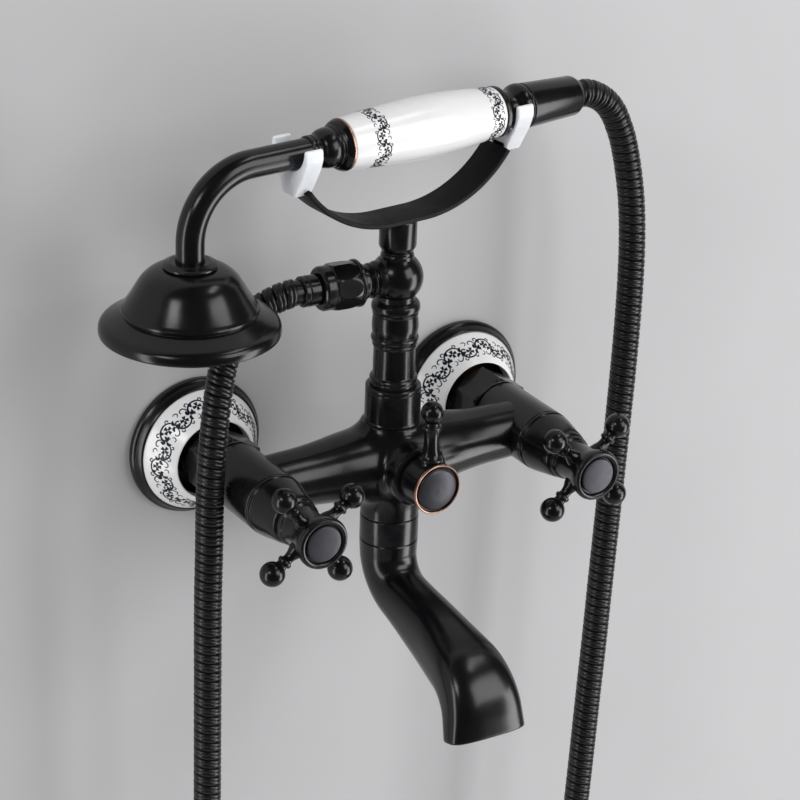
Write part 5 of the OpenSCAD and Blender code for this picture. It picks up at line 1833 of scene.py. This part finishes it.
    def prints(self) -> None:
        """Prints a border near each end of the handle."""
        outline = flow(list(self.porcelain), 4)
        spin = PLAN.handset() @ Matrix.Rotation(math.radians(self.print_turn), 4, "Z")
        for word, middle in self.bands:
            repeat = Scroll().print_on(outline, middle, self.repeats)
            mesh = self.shop.rounds.repeat(repeat, self.repeats, spin, self.shop.finishes.ink)
            mesh.name = f"handle_{word}_print"
            self.shop.piece(mesh.name, mesh, Body.HANDSET, "porcelain",
                            finish=self.shop.finishes.ink)

    def build(self) -> None:
        """Builds the whole handset."""
        self.head()
        self.nozzles()
        self.collar()
        self.gooseneck()
        self.handle()
        self.ferrules()
        self.prints()


@dataclass
class Spout:
    """The collar under the body, and the hollow spout that sweeps out and flattens to its mouth."""

    shop: Workshop
    top_z: float = -28.0
    collar_z: float = -41.0
    neck: float = 14.2
    wall: float = 1.8
    rows_out: int = 110
    rows_back: int = 50
    turns: tuple[Point2, ...] = (
        (0.0, 0.0), (6.1, 0.0), (33.08, 77.3), (88.58, 77.3), (114.68, 15.0), (123.98, 15.0),
    )
    halves: tuple[Point3, ...] = (
        (0.0, 14.2, 14.2), (0.25, 12.7, 12.5), (0.5, 13.4, 14.9), (0.75, 17.3, 13.5), (1.0, 20.7, 8.8),
    )

    def ring(self, line: np.ndarray, share: float, inset: float, sides: int = 96) -> list[Point3]:
        """Draws one ring of the skin.

        Args:
            line: (distance, y, z, lean) rows along the spout's middle.
            share: where the ring lies, as a share of the whole length.
            inset: how far it is drawn in.
            sides: how many points it has.

        Returns:
            The ring's points.
        """
        length = self.turns[-1][0]
        y, z, lean = (float(np.interp(share * length, line[:, 0], line[:, k])) for k in (1, 2, 3))
        sizes = np.array(flow(list(self.halves), 8))
        w, d = (float(np.interp(share, sizes[:, 0], sizes[:, k])) - inset for k in (1, 2))
        power = 2 / (2 + 1.2 * share)
        out = []
        for k in range(sides):
            a = 2 * math.pi * k / sides
            c, s = math.cos(a), math.sin(a)
            u = w * math.copysign(abs(c) ** power, c)
            v = d * math.copysign(abs(s) ** power, s)
            out.append((u, y - v * math.cos(lean), z + v * math.sin(lean)))
        return out

    def middle(self) -> np.ndarray:
        """Follows the spout's turns.

        Returns:
            (distance, y, z, lean) rows along its middle.
        """
        at = np.linspace(0, self.turns[-1][0], 500)
        lean = np.radians(np.interp(at, *zip(*self.turns)))
        steps = np.column_stack([-np.sin(lean), -np.cos(lean)])[:-1] * (at[1] - at[0])
        return np.column_stack([at, np.cumsum(np.vstack([[0, 0], steps]), axis=0), lean])

    def build(self) -> None:
        """Builds the collar and the spout, whose skin turns in at the mouth and runs back."""
        place, low, top, n = PLAN.riser(), self.collar_z, self.top_z, self.neck
        collar = Shape().turned([(0, low), (13.8, low), (n, low + 0.5), (n, top - 0.5), (13.8, top),
                                 (0, top)], place, 0.3)
        self.shop.stand_in("spout_collar", collar, Body.FAUCET)
        line = self.middle()
        rings = [self.ring(line, 0.0, 0.35)]
        rings += [self.ring(line, 0.004 + 0.99 * i / self.rows_out, 0) for i in range(self.rows_out + 1)]
        rings += [self.ring(line, s, i) for s, i in ((0.997, 0.12), (0.9995, 0.45), (1.0, 0.9),
                                                      (0.9995, 1.35), (0.997, 1.68))]
        rings += [self.ring(line, 0.99 - 0.9 * i / self.rows_back, self.wall)
                  for i in range(self.rows_back + 1)]
        spout = Shape().swept(rings, place @ Matrix.Translation((0, 0, low)))
        self.shop.stand_in("spout", spout, Body.FAUCET)


def main() -> None:
    """Builds the studio and every sub-assembly in order."""
    logging.basicConfig(level=logging.INFO, format="%(name)s %(message)s")
    Studio().build()
    shop = Workshop()
    shop.dress_nodes()
    for side, angle in ((Side.LEFT, 36.0), (Side.RIGHT, 46.0)):
        Inlet(shop, side).build()
        Handle(shop, side, angle).build()
    for part in (Casting, Diverter, Riser, Cradle, HoseFittings, Handset, Spout, Hose):
        part(shop).build()


if __name__ == "__main__":
    main()
